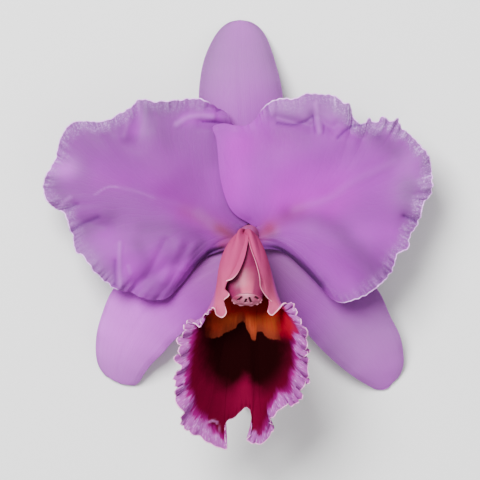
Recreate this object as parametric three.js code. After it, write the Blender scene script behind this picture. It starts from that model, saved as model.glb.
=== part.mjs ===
// A single cattleya bloom, cut with its stalk and laid face up on a surface. Millimetres, +Z up.
//
// Every piece is written in the bloom's own frame: the middle of the flower is at zero, +Y runs
// along the dorsal sepal, +X to the right of someone who looks into the flower, and +Z towards
// them. The group at the end lifts the bloom so that the tips of its three sepals and its stalk
// rest at z = 0, under the middle of its outline.

import * as THREE from 'three';
import { mergeVertices } from 'three/addons/utils/BufferGeometryUtils.js';

// ---------------------------------------------------------------- driving dimensions

const BLOOM_HEIGHT = 22; // middle of the flower above the surface that it lies on
const OUTLINE_MIDDLE = new THREE.Vector2(-4.1, 1); // middle of the outline, seen from above

const SEPAL_THICKNESS = 1.1;
const PETAL_THICKNESS = 0.9;
const LIP_THICKNESS = 0.7;

const GAP = 0.3; // clearance between pieces that touch

const HUB = new THREE.Vector2(0, 0.5); // the column stands here, and the petals clasp it
const PETAL_BASE_RADIUS = 4.4;
const VEIN_LEAD = 0.7; // how far a petal's veins follow its middle before they fan out

const COLUMN_TILT = 44; // degrees that the column and the lip's tube rise towards the viewer
const COLUMN_LENGTH = 33;
const TUBE_START = new THREE.Vector3(0, 0, 3.2);
const TUBE_BASE_RADIUS = 5;
const TUBE_RADIUS = 12.4; // of the control rings; the tube itself comes out about 11
const TUBE_LENGTH = 30;
const TUBE_SHIFT = -1.1; // the tube and the column lean a little to the left

const STALK_LENGTH = 62;
const STALK_RADIUS = 2.4;
const OVARY_RADIUS = 3.3;
const OVARY_TOP_RADIUS = 4.6;
const OVARY_TOP = -3;

// ---------------------------------------------------------------- small helpers

const RADIANS = Math.PI / 180;
const MERGE_DISTANCE = 1e-4;
const mix = THREE.MathUtils.lerp;
const smooth = THREE.MathUtils.smoothstep;

/** Points spaced evenly along a smooth curve through the given [x, y] or [x, y, z] points. */
function spacedAlong(points, count) {
  const through = points.map(([x, y, z = 0]) => new THREE.Vector3(x, y, z));
  const curve = new THREE.CatmullRomCurve3(through, false, 'centripetal');
  curve.arcLengthDivisions = points.length * 40;
  return curve.getSpacedPoints(count);
}

/** A share that rises from 0 to 1 and falls back to 0, as x passes the four given places. */
function band(x, { starts, full, fades, ends }) {
  return smooth(x, starts, full) * (1 - smooth(x, fades, ends));
}

/** A closed geometry from positions and faces, turned so that its faces point out. */
function closedGeometry(positions, faces) {
  const volume = faces.reduce((sum, [a, b, c]) => {
    const cross = new THREE.Vector3().crossVectors(positions[b], positions[c]);
    return sum + positions[a].dot(cross);
  }, 0);
  const outward = volume > 0 ? faces : faces.map(([a, b, c]) => [a, c, b]);
  const geometry = new THREE.BufferGeometry().setFromPoints(positions);
  geometry.setIndex(outward.flat());
  const merged = mergeVertices(geometry, MERGE_DISTANCE);
  merged.computeVertexNormals();
  return merged;
}

/** A thin blade of even thickness round a grid of middle points, rows[i][j]. */
function blade(rows, thickness) {
  const rowCount = rows.length;
  const columnCount = rows[0].length;
  const normalAt = (i, j) => {
    const up = rows[Math.min(i + 1, rowCount - 1)][j].clone().sub(rows[Math.max(i - 1, 0)][j]);
    const across = rows[i][Math.min(j + 1, columnCount - 1)]
      .clone().sub(rows[i][Math.max(j - 1, 0)]);
    return up.cross(across).normalize();
  };
  const faceOf = (side) => rows.flatMap((row, i) => row.map((point, j) => {
    const moved = point.clone().addScaledVector(normalAt(i, j), side * thickness / 2);
    moved.z = Math.max(moved.z, -BLOOM_HEIGHT);
    return moved;
  }));
  const positions = [...faceOf(1), ...faceOf(-1)];
  const back = rowCount * columnCount;
  const faces = [];
  const wall = (from, to) => {
    faces.push([from, to, to + back], [from, to + back, from + back]);
  };
  for (let i = 0; i < rowCount - 1; i += 1) {
    for (let j = 0; j < columnCount - 1; j += 1) {
      const a = i * columnCount + j;
      const b = a + 1;
      const d = a + columnCount;
      const c = d + 1;
      faces.push([a, d, c], [a, c, b]);
      faces.push([a + back, c + back, d + back], [a + back, b + back, c + back]);
      if (i === 0) wall(a, b);
      if (i === rowCount - 2) wall(c, d);
      if (j === 0) wall(d, a);
      if (j === columnCount - 2) wall(b, c);
    }
  }
  return closedGeometry(positions, faces);
}

/** A ring of points, one for each of a number of angles once round. */
function around(sides, pointAt) {
  return Array.from({ length: sides }, (_, k) => pointAt((2 * Math.PI * k) / sides));
}

/** A solid through closed rings of points, with a middle point closing each end. */
function loft(rings) {
  const sides = rings[0].length;
  const middle = (ring) => ring
    .reduce((sum, point) => sum.add(point), new THREE.Vector3()).divideScalar(sides);
  const positions = [...rings.flat(), middle(rings[0]), middle(rings[rings.length - 1])];
  const first = rings.length * sides;
  const faces = [];
  for (let j = 0; j < sides; j += 1) {
    const next = (j + 1) % sides;
    for (let i = 0; i < rings.length - 1; i += 1) {
      const a = i * sides + j;
      const b = i * sides + next;
      faces.push([a, b, b + sides], [a, b + sides, a + sides]);
    }
    const last = (rings.length - 1) * sides;
    faces.push([first, next, j], [first + 1, last + j, last + next]);
  }
  return closedGeometry(positions, faces);
}

/** Height that a list of folds adds at a point; a fold runs between two points. */
function relief(folds, x, y) {
  return folds.reduce((sum, [x1, y1, x2, y2, width, height]) => {
    const along = ((x - x1) * (x2 - x1) + (y - y1) * (y2 - y1)) / ((x2 - x1) ** 2 + (y2 - y1) ** 2);
    const t = Math.min(Math.max(along, 0), 1);
    const distance = Math.hypot(x - mix(x1, x2, t), y - mix(y1, y2, t));
    return sum + height * Math.exp(-((distance / width) ** 2));
  }, 0);
}

// ---------------------------------------------------------------- sepals

const SEPAL_COLUMNS = 8;
const SEPAL_ROWS = 20;
const CROWN_MIDDLE = 0.3; // share of the crown that lifts the middle; the rest lowers the edges

// Each rung is [left or outer edge x, y, other edge x, y, height of the middle].
const DORSAL_SEPAL = {
  crown: 0.11,
  rungs: [
    [-3.6, 4.95, 3.6, 4.95, -4.3],
    [-8, 14, 7, 14, -4.6],
    [-13.5, 28, 10.5, 28, -4.8],
    [-17, 41, 12.2, 41, -6],
    [-18, 50, 12.2, 50, -7.6],
    [-17.4, 58, 10.8, 58, -10],
    [-16, 64.5, 9, 64.5, -12.8],
    [-14, 69.5, 7.4, 69.5, -15.6],
    [-11.8, 73.5, 5.6, 73.5, -18.4],
    [-9.4, 76.3, 3.3, 76.3, -20.6],
    [-6.8, 78, 0.6, 78, -21.6],
  ],
};
const LEFT_LATERAL_SEPAL = {
  crown: 0.09,
  rungs: [
    [-5.25, -2.2, -0.85, -5.6, -4.3],
    [-17, -5, -8, -15, -5],
    [-31, -8, -16, -25.5, -5.5],
    [-43, -13, -22.5, -33, -6.5],
    [-49.5, -20, -27.5, -38, -8],
    [-53.2, -28.5, -31.8, -42.8, -10.4],
    [-55.2, -36, -35.5, -46.5, -13.2],
    [-55.5, -42.5, -38.3, -50.2, -16.2],
    [-54.6, -47.2, -40, -53, -18.8],
    [-52, -50.8, -42, -54.4, -20.8],
    [-49, -52.4, -45, -54, -21.7],
  ],
};
const RIGHT_LATERAL_SEPAL = {
  crown: 0.09,
  rungs: [
    [5.25, -2.2, 0.85, -5.6, -4.3],
    [16, -5.5, 7.5, -15, -5],
    [29, -8.5, 14, -26.5, -5.5],
    [40, -13, 20, -34, -6.5],
    [46.8, -20, 25.5, -40, -8],
    [51.3, -29.5, 31, -45.3, -10.4],
    [54.6, -36, 36.5, -49.8, -13.2],
    [56, -42.5, 41, -52.9, -16.2],
    [56, -47.5, 44, -54.6, -18.8],
    [54.3, -51.5, 46.4, -55.8, -20.8],
    [52, -53.8, 48.7, -56, -21.7],
  ],
};

/** A sepal: a strip across its rungs, crowned in the middle, its tip bent back to the surface. */
function sepal({ rungs, crown }) {
  const first = spacedAlong(rungs.map(([x, y, , , z]) => [x, y, z]), SEPAL_ROWS);
  const second = spacedAlong(rungs.map(([, , x, y, z]) => [x, y, z]), SEPAL_ROWS);
  const rows = first.map((left, i) => {
    const right = second[i];
    const width = Math.hypot(right.x - left.x, right.y - left.y);
    return Array.from({ length: SEPAL_COLUMNS + 1 }, (_, j) => {
      const across = (2 * j) / SEPAL_COLUMNS - 1;
      const point = left.clone().lerp(right, j / SEPAL_COLUMNS);
      point.z += crown * width * (CROWN_MIDDLE - across ** 2);
      point.z = Math.max(point.z, SEPAL_THICKNESS / 2 - BLOOM_HEIGHT);
      return point;
    });
  });
  return blade(rows, SEPAL_THICKNESS);
}

// ---------------------------------------------------------------- petals

const PETAL_COLUMNS = 62;
const PETAL_ROWS = 8;
const PETAL_REACH = 70; // the droop is reached at this distance from the base

// Places along a petal's margin, from 0 at the top of its base to 1 at the bottom of it.
const RUFFLED = { starts: 0.16, full: 0.3, fades: 0.78, ends: 0.9 };
const ROLLED = { starts: 0.84, full: 0.9, fades: 0.95, ends: 1 };
const FLATTER_FROM = 0.75;
const FLATTER_BY = 0.45; // the lower side arches this much less than the upper

const RUFFLE_SHARPNESS = 6; // the power of the way out with which the ruffles grow
const RUFFLE_CROWDING = 1.6; // radians by which the ruffles crowd together and spread
const CROWDING_RATE = 31;
const ROLL_STARTS = 0.6; // share of a vein's length
const FOLDS_START = 2; // distance from the base at which folds begin
const FOLDS_FULL = 14;

// The margin runs from the top of the clasping base, over the upper edge and the far end, and
// back along the lower edge. The left petal's first stretch lies behind the right petal. Each
// fold is [x1, y1, x2, y2, width, height].
const LEFT_PETAL = {
  baseFrom: 104,
  baseTo: 208,
  axis: 160,
  baseLevel: -2.15,
  rise: 5.4,
  riseReach: 16,
  droop: 5.5,
  waves: 17,
  waveHeight: 1.5,
  rolled: 0,
  margin: [
    [0.5, 5.25], [1.7, 5.7], [3.5, 7], [6, 10.5], [8, 16.5], [8.6, 22.5], [7, 29], [3, 34],
    [-2, 37.2], [-6.2, 40.5], [-8.5, 44.6], [-11, 45.8], [-13.5, 47.5], [-16, 48.9],
    [-19, 49.6], [-24, 49.2], [-30.5, 48.6], [-35, 48.6], [-38, 49.5], [-41, 48.3], [-43, 46],
    [-46.5, 44.3], [-50.5, 42], [-54, 41.3], [-59.5, 41.5], [-63.5, 41], [-66, 38.8],
    [-68.5, 34], [-69.8, 28], [-72, 24], [-74, 20], [-74.2, 16.5], [-73, 12.8], [-70, 10],
    [-66.5, 8], [-65, 3.5], [-63.3, -1], [-62.8, -5], [-59.5, -7.6], [-56, -12.5],
    [-52, -16.2], [-47.5, -19.3], [-43, -20],
    [-39, -22], [-35, -23], [-30, -22.5], [-26.5, -19.5], [-22.5, -15], [-19, -10.5],
    [-15.5, -7.6], [-12, -6], [-8.8, -5], [-6.3, -4.4],
  ],
  folds: [
    [-8, 2, -58, 24, 2.2, -1.1],
    [-36, 50, -40, 34, 2.6, -1.6],
    [-43, 46, -45, 36, 2, 1.1],
    [-15, 46, -7, 45, 1.6, -1.2],
    [-17, 41, -5, 39, 2, -1.6],
    [-66, 7, -52, 3, 2.6, -2],
    [-30, 22, -44, 34, 9, 2.4],
    [-28, -4, -48, -8, 8, 2.6],
    [-28, -10, -40, -18, 2.6, -1],
  ],
};
const RIGHT_PETAL = {
  baseFrom: 76,
  baseTo: -28,
  axis: 20,
  baseLevel: -0.9,
  rise: 9.2,
  riseReach: 14,
  droop: 9,
  waves: 17,
  waveHeight: 1.5,
  rolled: 5,
  margin: [
    [-0.5, 5.25], [-1.6, 5.65], [-3, 6.3], [-5, 7.8], [-7, 10.4], [-8.7, 14.5], [-10, 19.5],
    [-10.8, 25], [-11.2, 30], [-11.8, 35], [-13, 39], [-9.5, 40.3], [-5, 39.6], [-1, 39.6],
    [2, 41.5], [4.7, 45.5], [7.5, 48], [11.5, 49.4], [16, 49.3], [18, 50], [20, 51.1],
    [26, 51], [31, 50.4], [33.5, 48.4], [36.6, 46.8], [37, 44], [40.3, 40.2], [43.5, 42.3],
    [45.6, 40.7], [48, 43], [51, 41.3], [53.8, 42.3], [54.5, 39.5], [58, 36.6], [62, 32.4],
    [64.7, 29], [65.9, 22], [65.5, 15], [62.8, 11.8], [62, 8], [60, 3], [58, 0.3], [57, -4.7],
    [53.6, -6.2], [51.5, -12.3], [48.2, -16.4], [42, -21.2], [37.5, -23], [33.5, -24],
    [30.5, -23], [25.5, -18], [21, -13.4], [16.5, -9], [12.8, -6], [9.3, -4.8], [6.5, -4.2],
  ],
  folds: [
    [8, 2, 54, 27, 2.2, -1.2],
    [10, 42.5, 22, 39.5, 1.8, -1.8],
    [23, 43.5, 30, 38, 1.8, -1.4],
    [32, 40, 40, 35, 2, -1.3],
    [52, 7.5, 61, 4.5, 2.2, -1.6],
    [14, 26, 34, 36, 8, 2],
    [24, -2, 42, -6, 9, 2.8],
    [40, 24, 54, 30, 6, 1.6],
  ],
};

/** A petal: veins fan out from an arc round the column to the waved margin. */
function petal(shape) {
  const rim = spacedAlong(shape.margin, PETAL_COLUMNS);
  const axis = new THREE.Vector2(Math.cos(shape.axis * RADIANS), Math.sin(shape.axis * RADIANS));
  const veins = rim.map(({ x, y }, j) => {
    const s = j / PETAL_COLUMNS;
    const turn = mix(shape.baseFrom, shape.baseTo, s) * RADIANS;
    const base = new THREE.Vector2(Math.cos(turn), Math.sin(turn))
      .multiplyScalar(PETAL_BASE_RADIUS).add(HUB);
    const end = new THREE.Vector2(x, y);
    const lead = VEIN_LEAD * Math.max(0, end.clone().sub(base).dot(axis));
    const control = base.clone().addScaledVector(axis, lead);
    return { s, curve: new THREE.QuadraticBezierCurve(base, control, end) };
  });
  const height = (x, y, s, r) => {
    const out = Math.hypot(x - HUB.x, y - HUB.y) - PETAL_BASE_RADIUS;
    const low = 1 - FLATTER_BY * smooth(s, FLATTER_FROM, 1);
    const arch = low * shape.rise * (1 - Math.exp(-out / shape.riseReach))
      - shape.droop * (out / PETAL_REACH) ** 2;
    const crowding = RUFFLE_CROWDING * Math.sin(CROWDING_RATE * s);
    const wave = Math.sin(2 * Math.PI * shape.waves * s + crowding);
    const ruffle = shape.waveHeight * band(s, RUFFLED) * r ** RUFFLE_SHARPNESS * wave;
    const roll = shape.rolled * band(s, ROLLED) * smooth(r, ROLL_STARTS, 1) ** 2;
    const folded = relief(shape.folds, x, y) * smooth(out, FOLDS_START, FOLDS_FULL);
    return shape.baseLevel + arch + ruffle + folded - roll;
  };
  const rows = Array.from({ length: PETAL_ROWS + 1 }, (_, i) => {
    const r = i / PETAL_ROWS;
    return veins.map(({ s, curve }) => {
      const { x, y } = curve.getPoint(r);
      return new THREE.Vector3(x, y, height(x, y, s, r));
    });
  });
  return blade(rows, PETAL_THICKNESS);
}

// ---------------------------------------------------------------- lip

const LIP_ROWS = 8;
const LIP_ROW_CROWDING = 1.6; // the rows lie closer together towards the margin
const LIP_LIFT = 4; // how far the shoulder of the mouth stands above its chord
const FLARE_STARTS = 6; // distance from the tube's mouth to the margin
const FLARE_FULL = 24;
const FRILL_REACH = 6; // margin points on each side that the frill is averaged over
const FRILL_START = 0.78; // share of a vein's length where the frill begins
const FRILL_SHARPNESS = 1.5;
const FRILL_DEPTH = 1.7; // the frill's folds stand this much higher than its margin says
const TUBE_WIDE_AT = 14; // distance along the tube at which it has its full radius
const TUBE_SHIFTED_AT = 8;
const TUBE_BELLY = 0.4; // where a vein's middle ring lies, as a share of its way along the tube
const TUBE_MOUTH = 0.95;

// The lip's free margin, in stretches. The veins of a stretch start from the tube's base between
// two angles: 0 is the floor of the tube, under the column, and 180 is the seam over it.
const LIP_MARGIN = [
  {
    name: 'left lobe, along the seam over the column',
    angles: [-178, -150],
    points: [
      [-0.7, 2.6, 8.8], [-0.8, 0.1, 14.2], [-0.7, -2.4, 18.2], [-1, -6.3, 22.6],
      [-2.1, -9.9, 26.6], [-3.2, -13, 29.4], [-5.1, -15.1, 30.6],
    ],
  },
  {
    name: 'left lobe, front edge with its curled lappet',
    angles: [-144, -94],
    points: [
      [-8, -16, 29.8], [-9.3, -16.6, 28.8], [-8.7, -18.7, 29.3], [-7.1, -21, 30.2],
      [-9, -22.9, 28.6], [-8.5, -25.2, 29.4], [-8.1, -27.4, 30.4], [-9.6, -28.9, 30.2],
      [-11.4, -27.9, 29], [-13, -25.6, 28.6],
    ],
  },
  {
    name: 'left side of the midlobe',
    angles: [-90, -33],
    points: [
      [-14.6, -27.4, 29.4], [-16.9, -29.5, 28.4], [-16.4, -31.3, 29.8], [-17.5, -32.4, 29.8],
      [-19.2, -31, 28.6], [-20.4, -30, 28], [-22.6, -31.5, 27.6], [-23, -35, 28.6],
      [-25, -36.3, 26.8], [-24.6, -41.5, 28.2], [-26.1, -43.6, 26.2], [-24.6, -47.4, 27.4],
      [-26.5, -50, 25.2], [-25.6, -54.3, 25.8], [-26.5, -57.3, 23.6], [-23.6, -62.2, 24.2],
      [-24.2, -66.8, 21.2],
    ],
  },
  {
    name: 'left lappet, the notch and the right lappet',
    angles: [-30, 28],
    points: [
      [-21, -70, 20.4], [-17.5, -71.6, 19.2], [-14, -74, 18.2], [-8, -76, 16.5],
      [-8.6, -72, 17.6], [-7.9, -66, 20], [-5.4, -64.8, 20.6], [-3, -62.5, 21.2],
      [-1, -61, 21.6], [0.5, -62.6, 21], [0.4, -71, 17.5], [-0.8, -72.8, 16],
      [1.5, -74, 15.6], [4, -74, 15.8], [6.5, -72.4, 16.6], [8.6, -69.3, 17.4],
      [7.4, -65.4, 20],
    ],
  },
  {
    name: 'right side of the midlobe',
    angles: [31, 88],
    points: [
      [9, -63.5, 21.5], [12.3, -60, 23.4], [15.6, -59.9, 22], [18.4, -57.5, 23],
      [19, -52.6, 25.8], [20.9, -51.8, 24], [20.4, -48.5, 26.6], [21.6, -45.8, 25.2],
      [19.9, -42, 27.8], [21, -41, 26.2], [19.9, -38.9, 28.2], [20.9, -36.4, 26.8],
      [19.4, -32.6, 29], [17, -28.4, 28.2], [15.5, -24.4, 28.4],
    ],
  },
  {
    name: 'right lobe, front edge with its curled lappet',
    angles: [92, 144],
    points: [
      [12.4, -24.2, 28.6], [9.6, -26.9, 29.6], [8, -28.1, 30.4], [6.6, -26.9, 30.4],
      [7.6, -24.9, 29.2], [7.8, -23.4, 28.8], [6, -21.4, 29.8], [4.1, -18.4, 30.6],
      [3.4, -15, 30.8],
    ],
  },
  {
    name: 'right lobe, along the seam over the column',
    angles: [152, 178],
    points: [[2, -9.6, 27.4], [0.7, -4.5, 21.6], [0.3, 0, 14.4], [0.3, 2.6, 8.8]],
  },
];

const TUBE_DIRECTION = new THREE.Vector3(
  0, -Math.cos(COLUMN_TILT * RADIANS), Math.sin(COLUMN_TILT * RADIANS),
);
const TUBE_UP = new THREE.Vector3(
  0, Math.sin(COLUMN_TILT * RADIANS), Math.cos(COLUMN_TILT * RADIANS),
);

/** The middle of the lip's tube at a distance along it. */
function tubeMiddle(distance) {
  const middle = TUBE_START.clone().addScaledVector(TUBE_DIRECTION, distance);
  middle.x += TUBE_SHIFT * smooth(distance, 0, TUBE_SHIFTED_AT);
  return middle;
}

/** A point on a ring round the tube; angle 0 is its floor. */
function onTube(angle, distance, radius) {
  const point = tubeMiddle(distance);
  point.addScaledVector(TUBE_UP, -radius * Math.cos(angle * RADIANS));
  point.x += radius * Math.sin(angle * RADIANS);
  return point;
}

/** The margin's even mean: each point averaged with its neighbours within reach. */
function softened(points, reach) {
  return points.map((_, j) => {
    const span = Math.min(reach, j, points.length - 1 - j);
    const near = points.slice(j - span, j + span + 1);
    return near.reduce((sum, p) => sum.add(p), new THREE.Vector3()).divideScalar(near.length);
  });
}

/** The lip: a tube round the column that opens along its top and flares into a frilled lobe. */
function lip() {
  const stations = LIP_MARGIN.flatMap(({ angles, points }) => points.map(([x, y, z], k) => ({
    at: new THREE.Vector3(x, y, z),
    angle: mix(angles[0], angles[1], k / (points.length - 1)),
  })));
  const curve = new THREE.CatmullRomCurve3(stations.map(({ at }) => at), false, 'centripetal');
  const angles = new THREE.CatmullRomCurve3(
    stations.map(({ angle }, k) => new THREE.Vector3(angle, k, 0)), false, 'centripetal',
  );
  const columns = 2 * (stations.length - 1);
  const steps = Array.from({ length: columns + 1 }, (_, j) => j / columns);
  const rim = steps.map((s) => curve.getPoint(s));
  const mean = softened(rim, FRILL_REACH);
  const veins = steps.map((s, j) => {
    const angle = angles.getPoint(s).x;
    const along = rim[j].clone().sub(TUBE_START).dot(TUBE_DIRECTION);
    const leave = Math.min(along, TUBE_LENGTH);
    const widening = smooth(leave, 0, TUBE_WIDE_AT);
    const bellyRadius = mix(TUBE_BASE_RADIUS, TUBE_RADIUS - 1, widening);
    const mouthRadius = mix(TUBE_BASE_RADIUS, TUBE_RADIUS, widening);
    const mouth = onTube(angle, TUBE_MOUTH * leave, mouthRadius);
    const shoulder = mouth.clone().lerp(mean[j], 0.5);
    shoulder.z += LIP_LIFT * smooth(mouth.distanceTo(mean[j]), FLARE_STARTS, FLARE_FULL);
    return [
      onTube(angle, 0, TUBE_BASE_RADIUS),
      onTube(angle, TUBE_BELLY * leave, bellyRadius),
      mouth,
      shoulder,
      mean[j],
    ];
  });
  const frill = rim.map((point, j) => point.clone().sub(mean[j])
    .multiply(new THREE.Vector3(1, 1, FRILL_DEPTH)));
  const binomial = [1, 4, 6, 4, 1];
  const rows = Array.from({ length: LIP_ROWS + 1 }, (_, i) => {
    const r = 1 - (1 - i / LIP_ROWS) ** LIP_ROW_CROWDING;
    const shares = binomial.map((count, k) => count * r ** k * (1 - r) ** (4 - k));
    const frilled = smooth(r, FRILL_START, 1) ** FRILL_SHARPNESS;
    return veins.map((controls, j) => controls.reduce(
      (sum, control, k) => sum.addScaledVector(control, shares[k]),
      frill[j].clone().multiplyScalar(frilled),
    ));
  });
  return blade(rows, LIP_THICKNESS);
}

// ---------------------------------------------------------------- column, anther cap, pollinia

const COLUMN_SIDES = 24;
const COLUMN_OFFSET = 1.2; // the column runs this far over the tube's middle
const COLUMN_OFFSET_AT = 14;
const COLUMN_FOOT_RADIUS = 3.3;
const COLUMN_FOOT_TOP = -0.4;
const CHANNEL = { starts: 4, full: 12, fades: 25, ends: 29 }; // distances along the column
const CHANNEL_DEPTH = 0.28; // as a share of the half depth
const CHANNEL_SHARPNESS = 6;
const END_HOLLOW = 0.9; // the column's end face is set back this far inside its rim
const END_FACE = 0.8; // size of that face, as a share of the rim

// [distance along the column, half width, half depth]; its end is a blunt, slightly hollow face.
const COLUMN_SECTIONS = [
  [1.5, 3.3, 3.1], [6, 3.4, 3.1], [12, 3.7, 3.2], [18, 4.3, 3.4], [23, 5, 3.5], [27, 5.6, 3.5],
  [COLUMN_LENGTH - 3.5, 5.9, 3.3], [COLUMN_LENGTH, 5.7, 3],
];

/** A ring across the column: rounded above, with a shallow channel along its underside. */
function columnRing(distance, halfWidth, halfDepth, scale = 1) {
  const rise = COLUMN_OFFSET * smooth(distance, 0, COLUMN_OFFSET_AT);
  return around(COLUMN_SIDES, (turn) => {
    const below = Math.max(0, -Math.sin(turn)) ** CHANNEL_SHARPNESS;
    const channel = 1 - CHANNEL_DEPTH * band(distance, CHANNEL) * below;
    const point = tubeMiddle(distance);
    point.x += scale * halfWidth * Math.cos(turn);
    return point.addScaledVector(TUBE_UP, rise + scale * halfDepth * Math.sin(turn) * channel);
  });
}

/** The column: it stands on the ovary, bends forward inside the lip's tube and widens. */
function column() {
  const foot = [OVARY_TOP + GAP, COLUMN_FOOT_TOP].map((level) => around(
    COLUMN_SIDES,
    (turn) => new THREE.Vector3(Math.cos(turn), Math.sin(turn), 0)
      .multiplyScalar(COLUMN_FOOT_RADIUS).add(new THREE.Vector3(HUB.x, HUB.y, level)),
  ));
  const [endDistance, endWidth, endDepth] = COLUMN_SECTIONS[COLUMN_SECTIONS.length - 1];
  const rings = COLUMN_SECTIONS.map((section) => columnRing(...section));
  const seat = columnRing(endDistance - END_HOLLOW, endWidth, endDepth, END_FACE);
  return loft([...foot, ...rings, seat]);
}

const CAP = { halfWidth: 4.3, halfDepth: 2.3, height: 2.1, wall: 0.6, ridges: 5, ridge: 0.12 };
const CAP_START = COLUMN_LENGTH - END_HOLLOW + GAP;
const CAP_SIDES = 20;
const CAP_LEVELS = [0, 25, 50, 70, 85]; // degrees from the rim of the dome to its top

/** A dome on the column's end face, as rings from its rim to its top. */
function domeRings(halfWidth, halfDepth, height, ridged) {
  return CAP_LEVELS.map((level) => around(CAP_SIDES, (turn) => {
    const ridge = 1 + ridged * Math.cos(CAP.ridges * turn) * Math.sin(level * RADIANS);
    const radius = Math.cos(level * RADIANS) * ridge;
    const point = tubeMiddle(CAP_START + height * Math.sin(level * RADIANS));
    point.x += halfWidth * radius * Math.cos(turn);
    return point.addScaledVector(TUBE_UP, COLUMN_OFFSET + halfDepth * radius * Math.sin(turn));
  }));
}

/** The anther cap: a small ridged cup over the end of the column, open towards it. */
function antherCap() {
  const { halfWidth, halfDepth, height, wall, ridge } = CAP;
  const outer = domeRings(halfWidth, halfDepth, height, ridge);
  const inner = domeRings(halfWidth - wall, halfDepth - wall, height - wall, 0);
  return loft([...inner.reverse(), ...outer]);
}

const POLLINIA = { halfWidth: 2.7, halfDepth: 1.05, lift: 0.1, layer: 0.25, count: 4, lobe: 0.14 };
const POLLINIA_SIDES = 24;
const POLLINIA_LAYERS = [0.55, 1, 0.9, 0.5]; // size of each layer, from the column outwards

/** The pollinia: four waxy masses side by side, joined where they touch. */
function pollinia() {
  return loft(POLLINIA_LAYERS.map((share, i) => around(POLLINIA_SIDES, (turn) => {
    const size = share * (1 + POLLINIA.lobe * Math.cos(POLLINIA.count * turn));
    const point = tubeMiddle(CAP_START + POLLINIA.lift + POLLINIA.layer * i);
    point.x += POLLINIA.halfWidth * size * Math.cos(turn);
    const up = POLLINIA.halfDepth * size * Math.sin(turn);
    return point.addScaledVector(TUBE_UP, COLUMN_OFFSET + up);
  })));
}

// ---------------------------------------------------------------- ovary and stalk

const OVARY_SIDES = 18;
const OVARY_RINGS = 26;
const OVARY_RIBS = 6;
const OVARY_RIB = 0.08; // depth of the grooves between the ribs, as a share of the radius
const OVARY_RIBBED = { starts: 0.06, full: 0.14, fades: 0.5, ends: 0.7 }; // shares of its length

/** The ovary with its stalk: six low ribs, bent down from the flower and laid along the surface. */
function ovary() {
  // [y along the surface, height of the middle, radius]; the last four rest on the surface.
  const resting = (y, radius) => [y, radius - BLOOM_HEIGHT, radius];
  const stations = [
    [0, OVARY_TOP, OVARY_TOP_RADIUS],
    [0, OVARY_TOP - 2, OVARY_TOP_RADIUS - 0.1],
    [-0.2, OVARY_TOP - 4.4, OVARY_RADIUS],
    [-2.2, OVARY_TOP - 9, OVARY_RADIUS],
    [-7, OVARY_TOP - 13, OVARY_RADIUS + 0.1],
    [-14, OVARY_TOP - 15.1, OVARY_RADIUS + 0.2],
    resting(-24, OVARY_RADIUS),
    resting(-36, STALK_RADIUS + 0.4),
    resting(-48, STALK_RADIUS),
    resting(-STALK_LENGTH, STALK_RADIUS),
  ];
  const path = spacedAlong(stations, OVARY_RINGS);
  const rings = path.map(({ x: y, y: z, z: radius }, i) => {
    const before = path[Math.max(i - 1, 0)];
    const after = path[Math.min(i + 1, path.length - 1)];
    const run = new THREE.Vector2(after.x - before.x, after.y - before.y).normalize();
    const ribs = OVARY_RIB * band(i / OVARY_RINGS, OVARY_RIBBED);
    return around(OVARY_SIDES, (turn) => {
      const reach = radius * (1 - ribs * (1 - Math.cos(OVARY_RIBS * turn)) / 2);
      const up = reach * Math.sin(turn);
      return new THREE.Vector3(
        reach * Math.cos(turn),
        y + up * run.y,
        Math.max(z - up * run.x, -BLOOM_HEIGHT),
      );
    });
  });
  return loft(rings);
}

// ---------------------------------------------------------------- the bloom

const FINISHES = {
  petal: { color: 0xb877c4, roughness: 0.55 },
  sepal: { color: 0xbb91c4, roughness: 0.55 },
  lip: { color: 0x7a0524, roughness: 0.6 },
  column: { color: 0xd4899d, roughness: 0.4 },
  cap: { color: 0xe6b4c0, roughness: 0.4 },
  pollinia: { color: 0xe9cf6a, roughness: 0.35 },
  stalk: { color: 0x8fa05c, roughness: 0.5 },
};

/** A named mesh with its own finish. */
function piece(name, geometry, finish) {
  const material = new THREE.MeshStandardMaterial({ ...FINISHES[finish], metalness: 0 });
  const mesh = new THREE.Mesh(geometry, material);
  mesh.name = name;
  return mesh;
}

const bloom = new THREE.Group();
bloom.position.set(-OUTLINE_MIDDLE.x, -OUTLINE_MIDDLE.y, BLOOM_HEIGHT);
bloom.add(
  piece('ovary', ovary(), 'stalk'),
  piece('dorsal_sepal', sepal(DORSAL_SEPAL), 'sepal'),
  piece('left_lateral_sepal', sepal(LEFT_LATERAL_SEPAL), 'sepal'),
  piece('right_lateral_sepal', sepal(RIGHT_LATERAL_SEPAL), 'sepal'),
  piece('left_petal', petal(LEFT_PETAL), 'petal'),
  piece('right_petal', petal(RIGHT_PETAL), 'petal'),
  piece('lip', lip(), 'lip'),
  piece('column', column(), 'column'),
  piece('anther_cap', antherCap(), 'cap'),
  piece('pollinia', pollinia(), 'pollinia'),
);

export default bloom;
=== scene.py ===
"""A cattleya bloom, cut with its stalk and laid face up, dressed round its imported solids.

Shapes are worked out in the bloom's own frame, in millimetres: the middle of the flower is at
zero, +Y runs along the dorsal sepal, +X to the right of someone who looks into the flower, and
+Z towards them. Each finished mesh is then placed in the row's frame, in metres.
"""

import logging
import math
from collections.abc import Callable, Sequence
from dataclasses import dataclass
from enum import Enum
from typing import NamedTuple

import bpy
import numpy as np
from mathutils import Matrix, Vector


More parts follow.
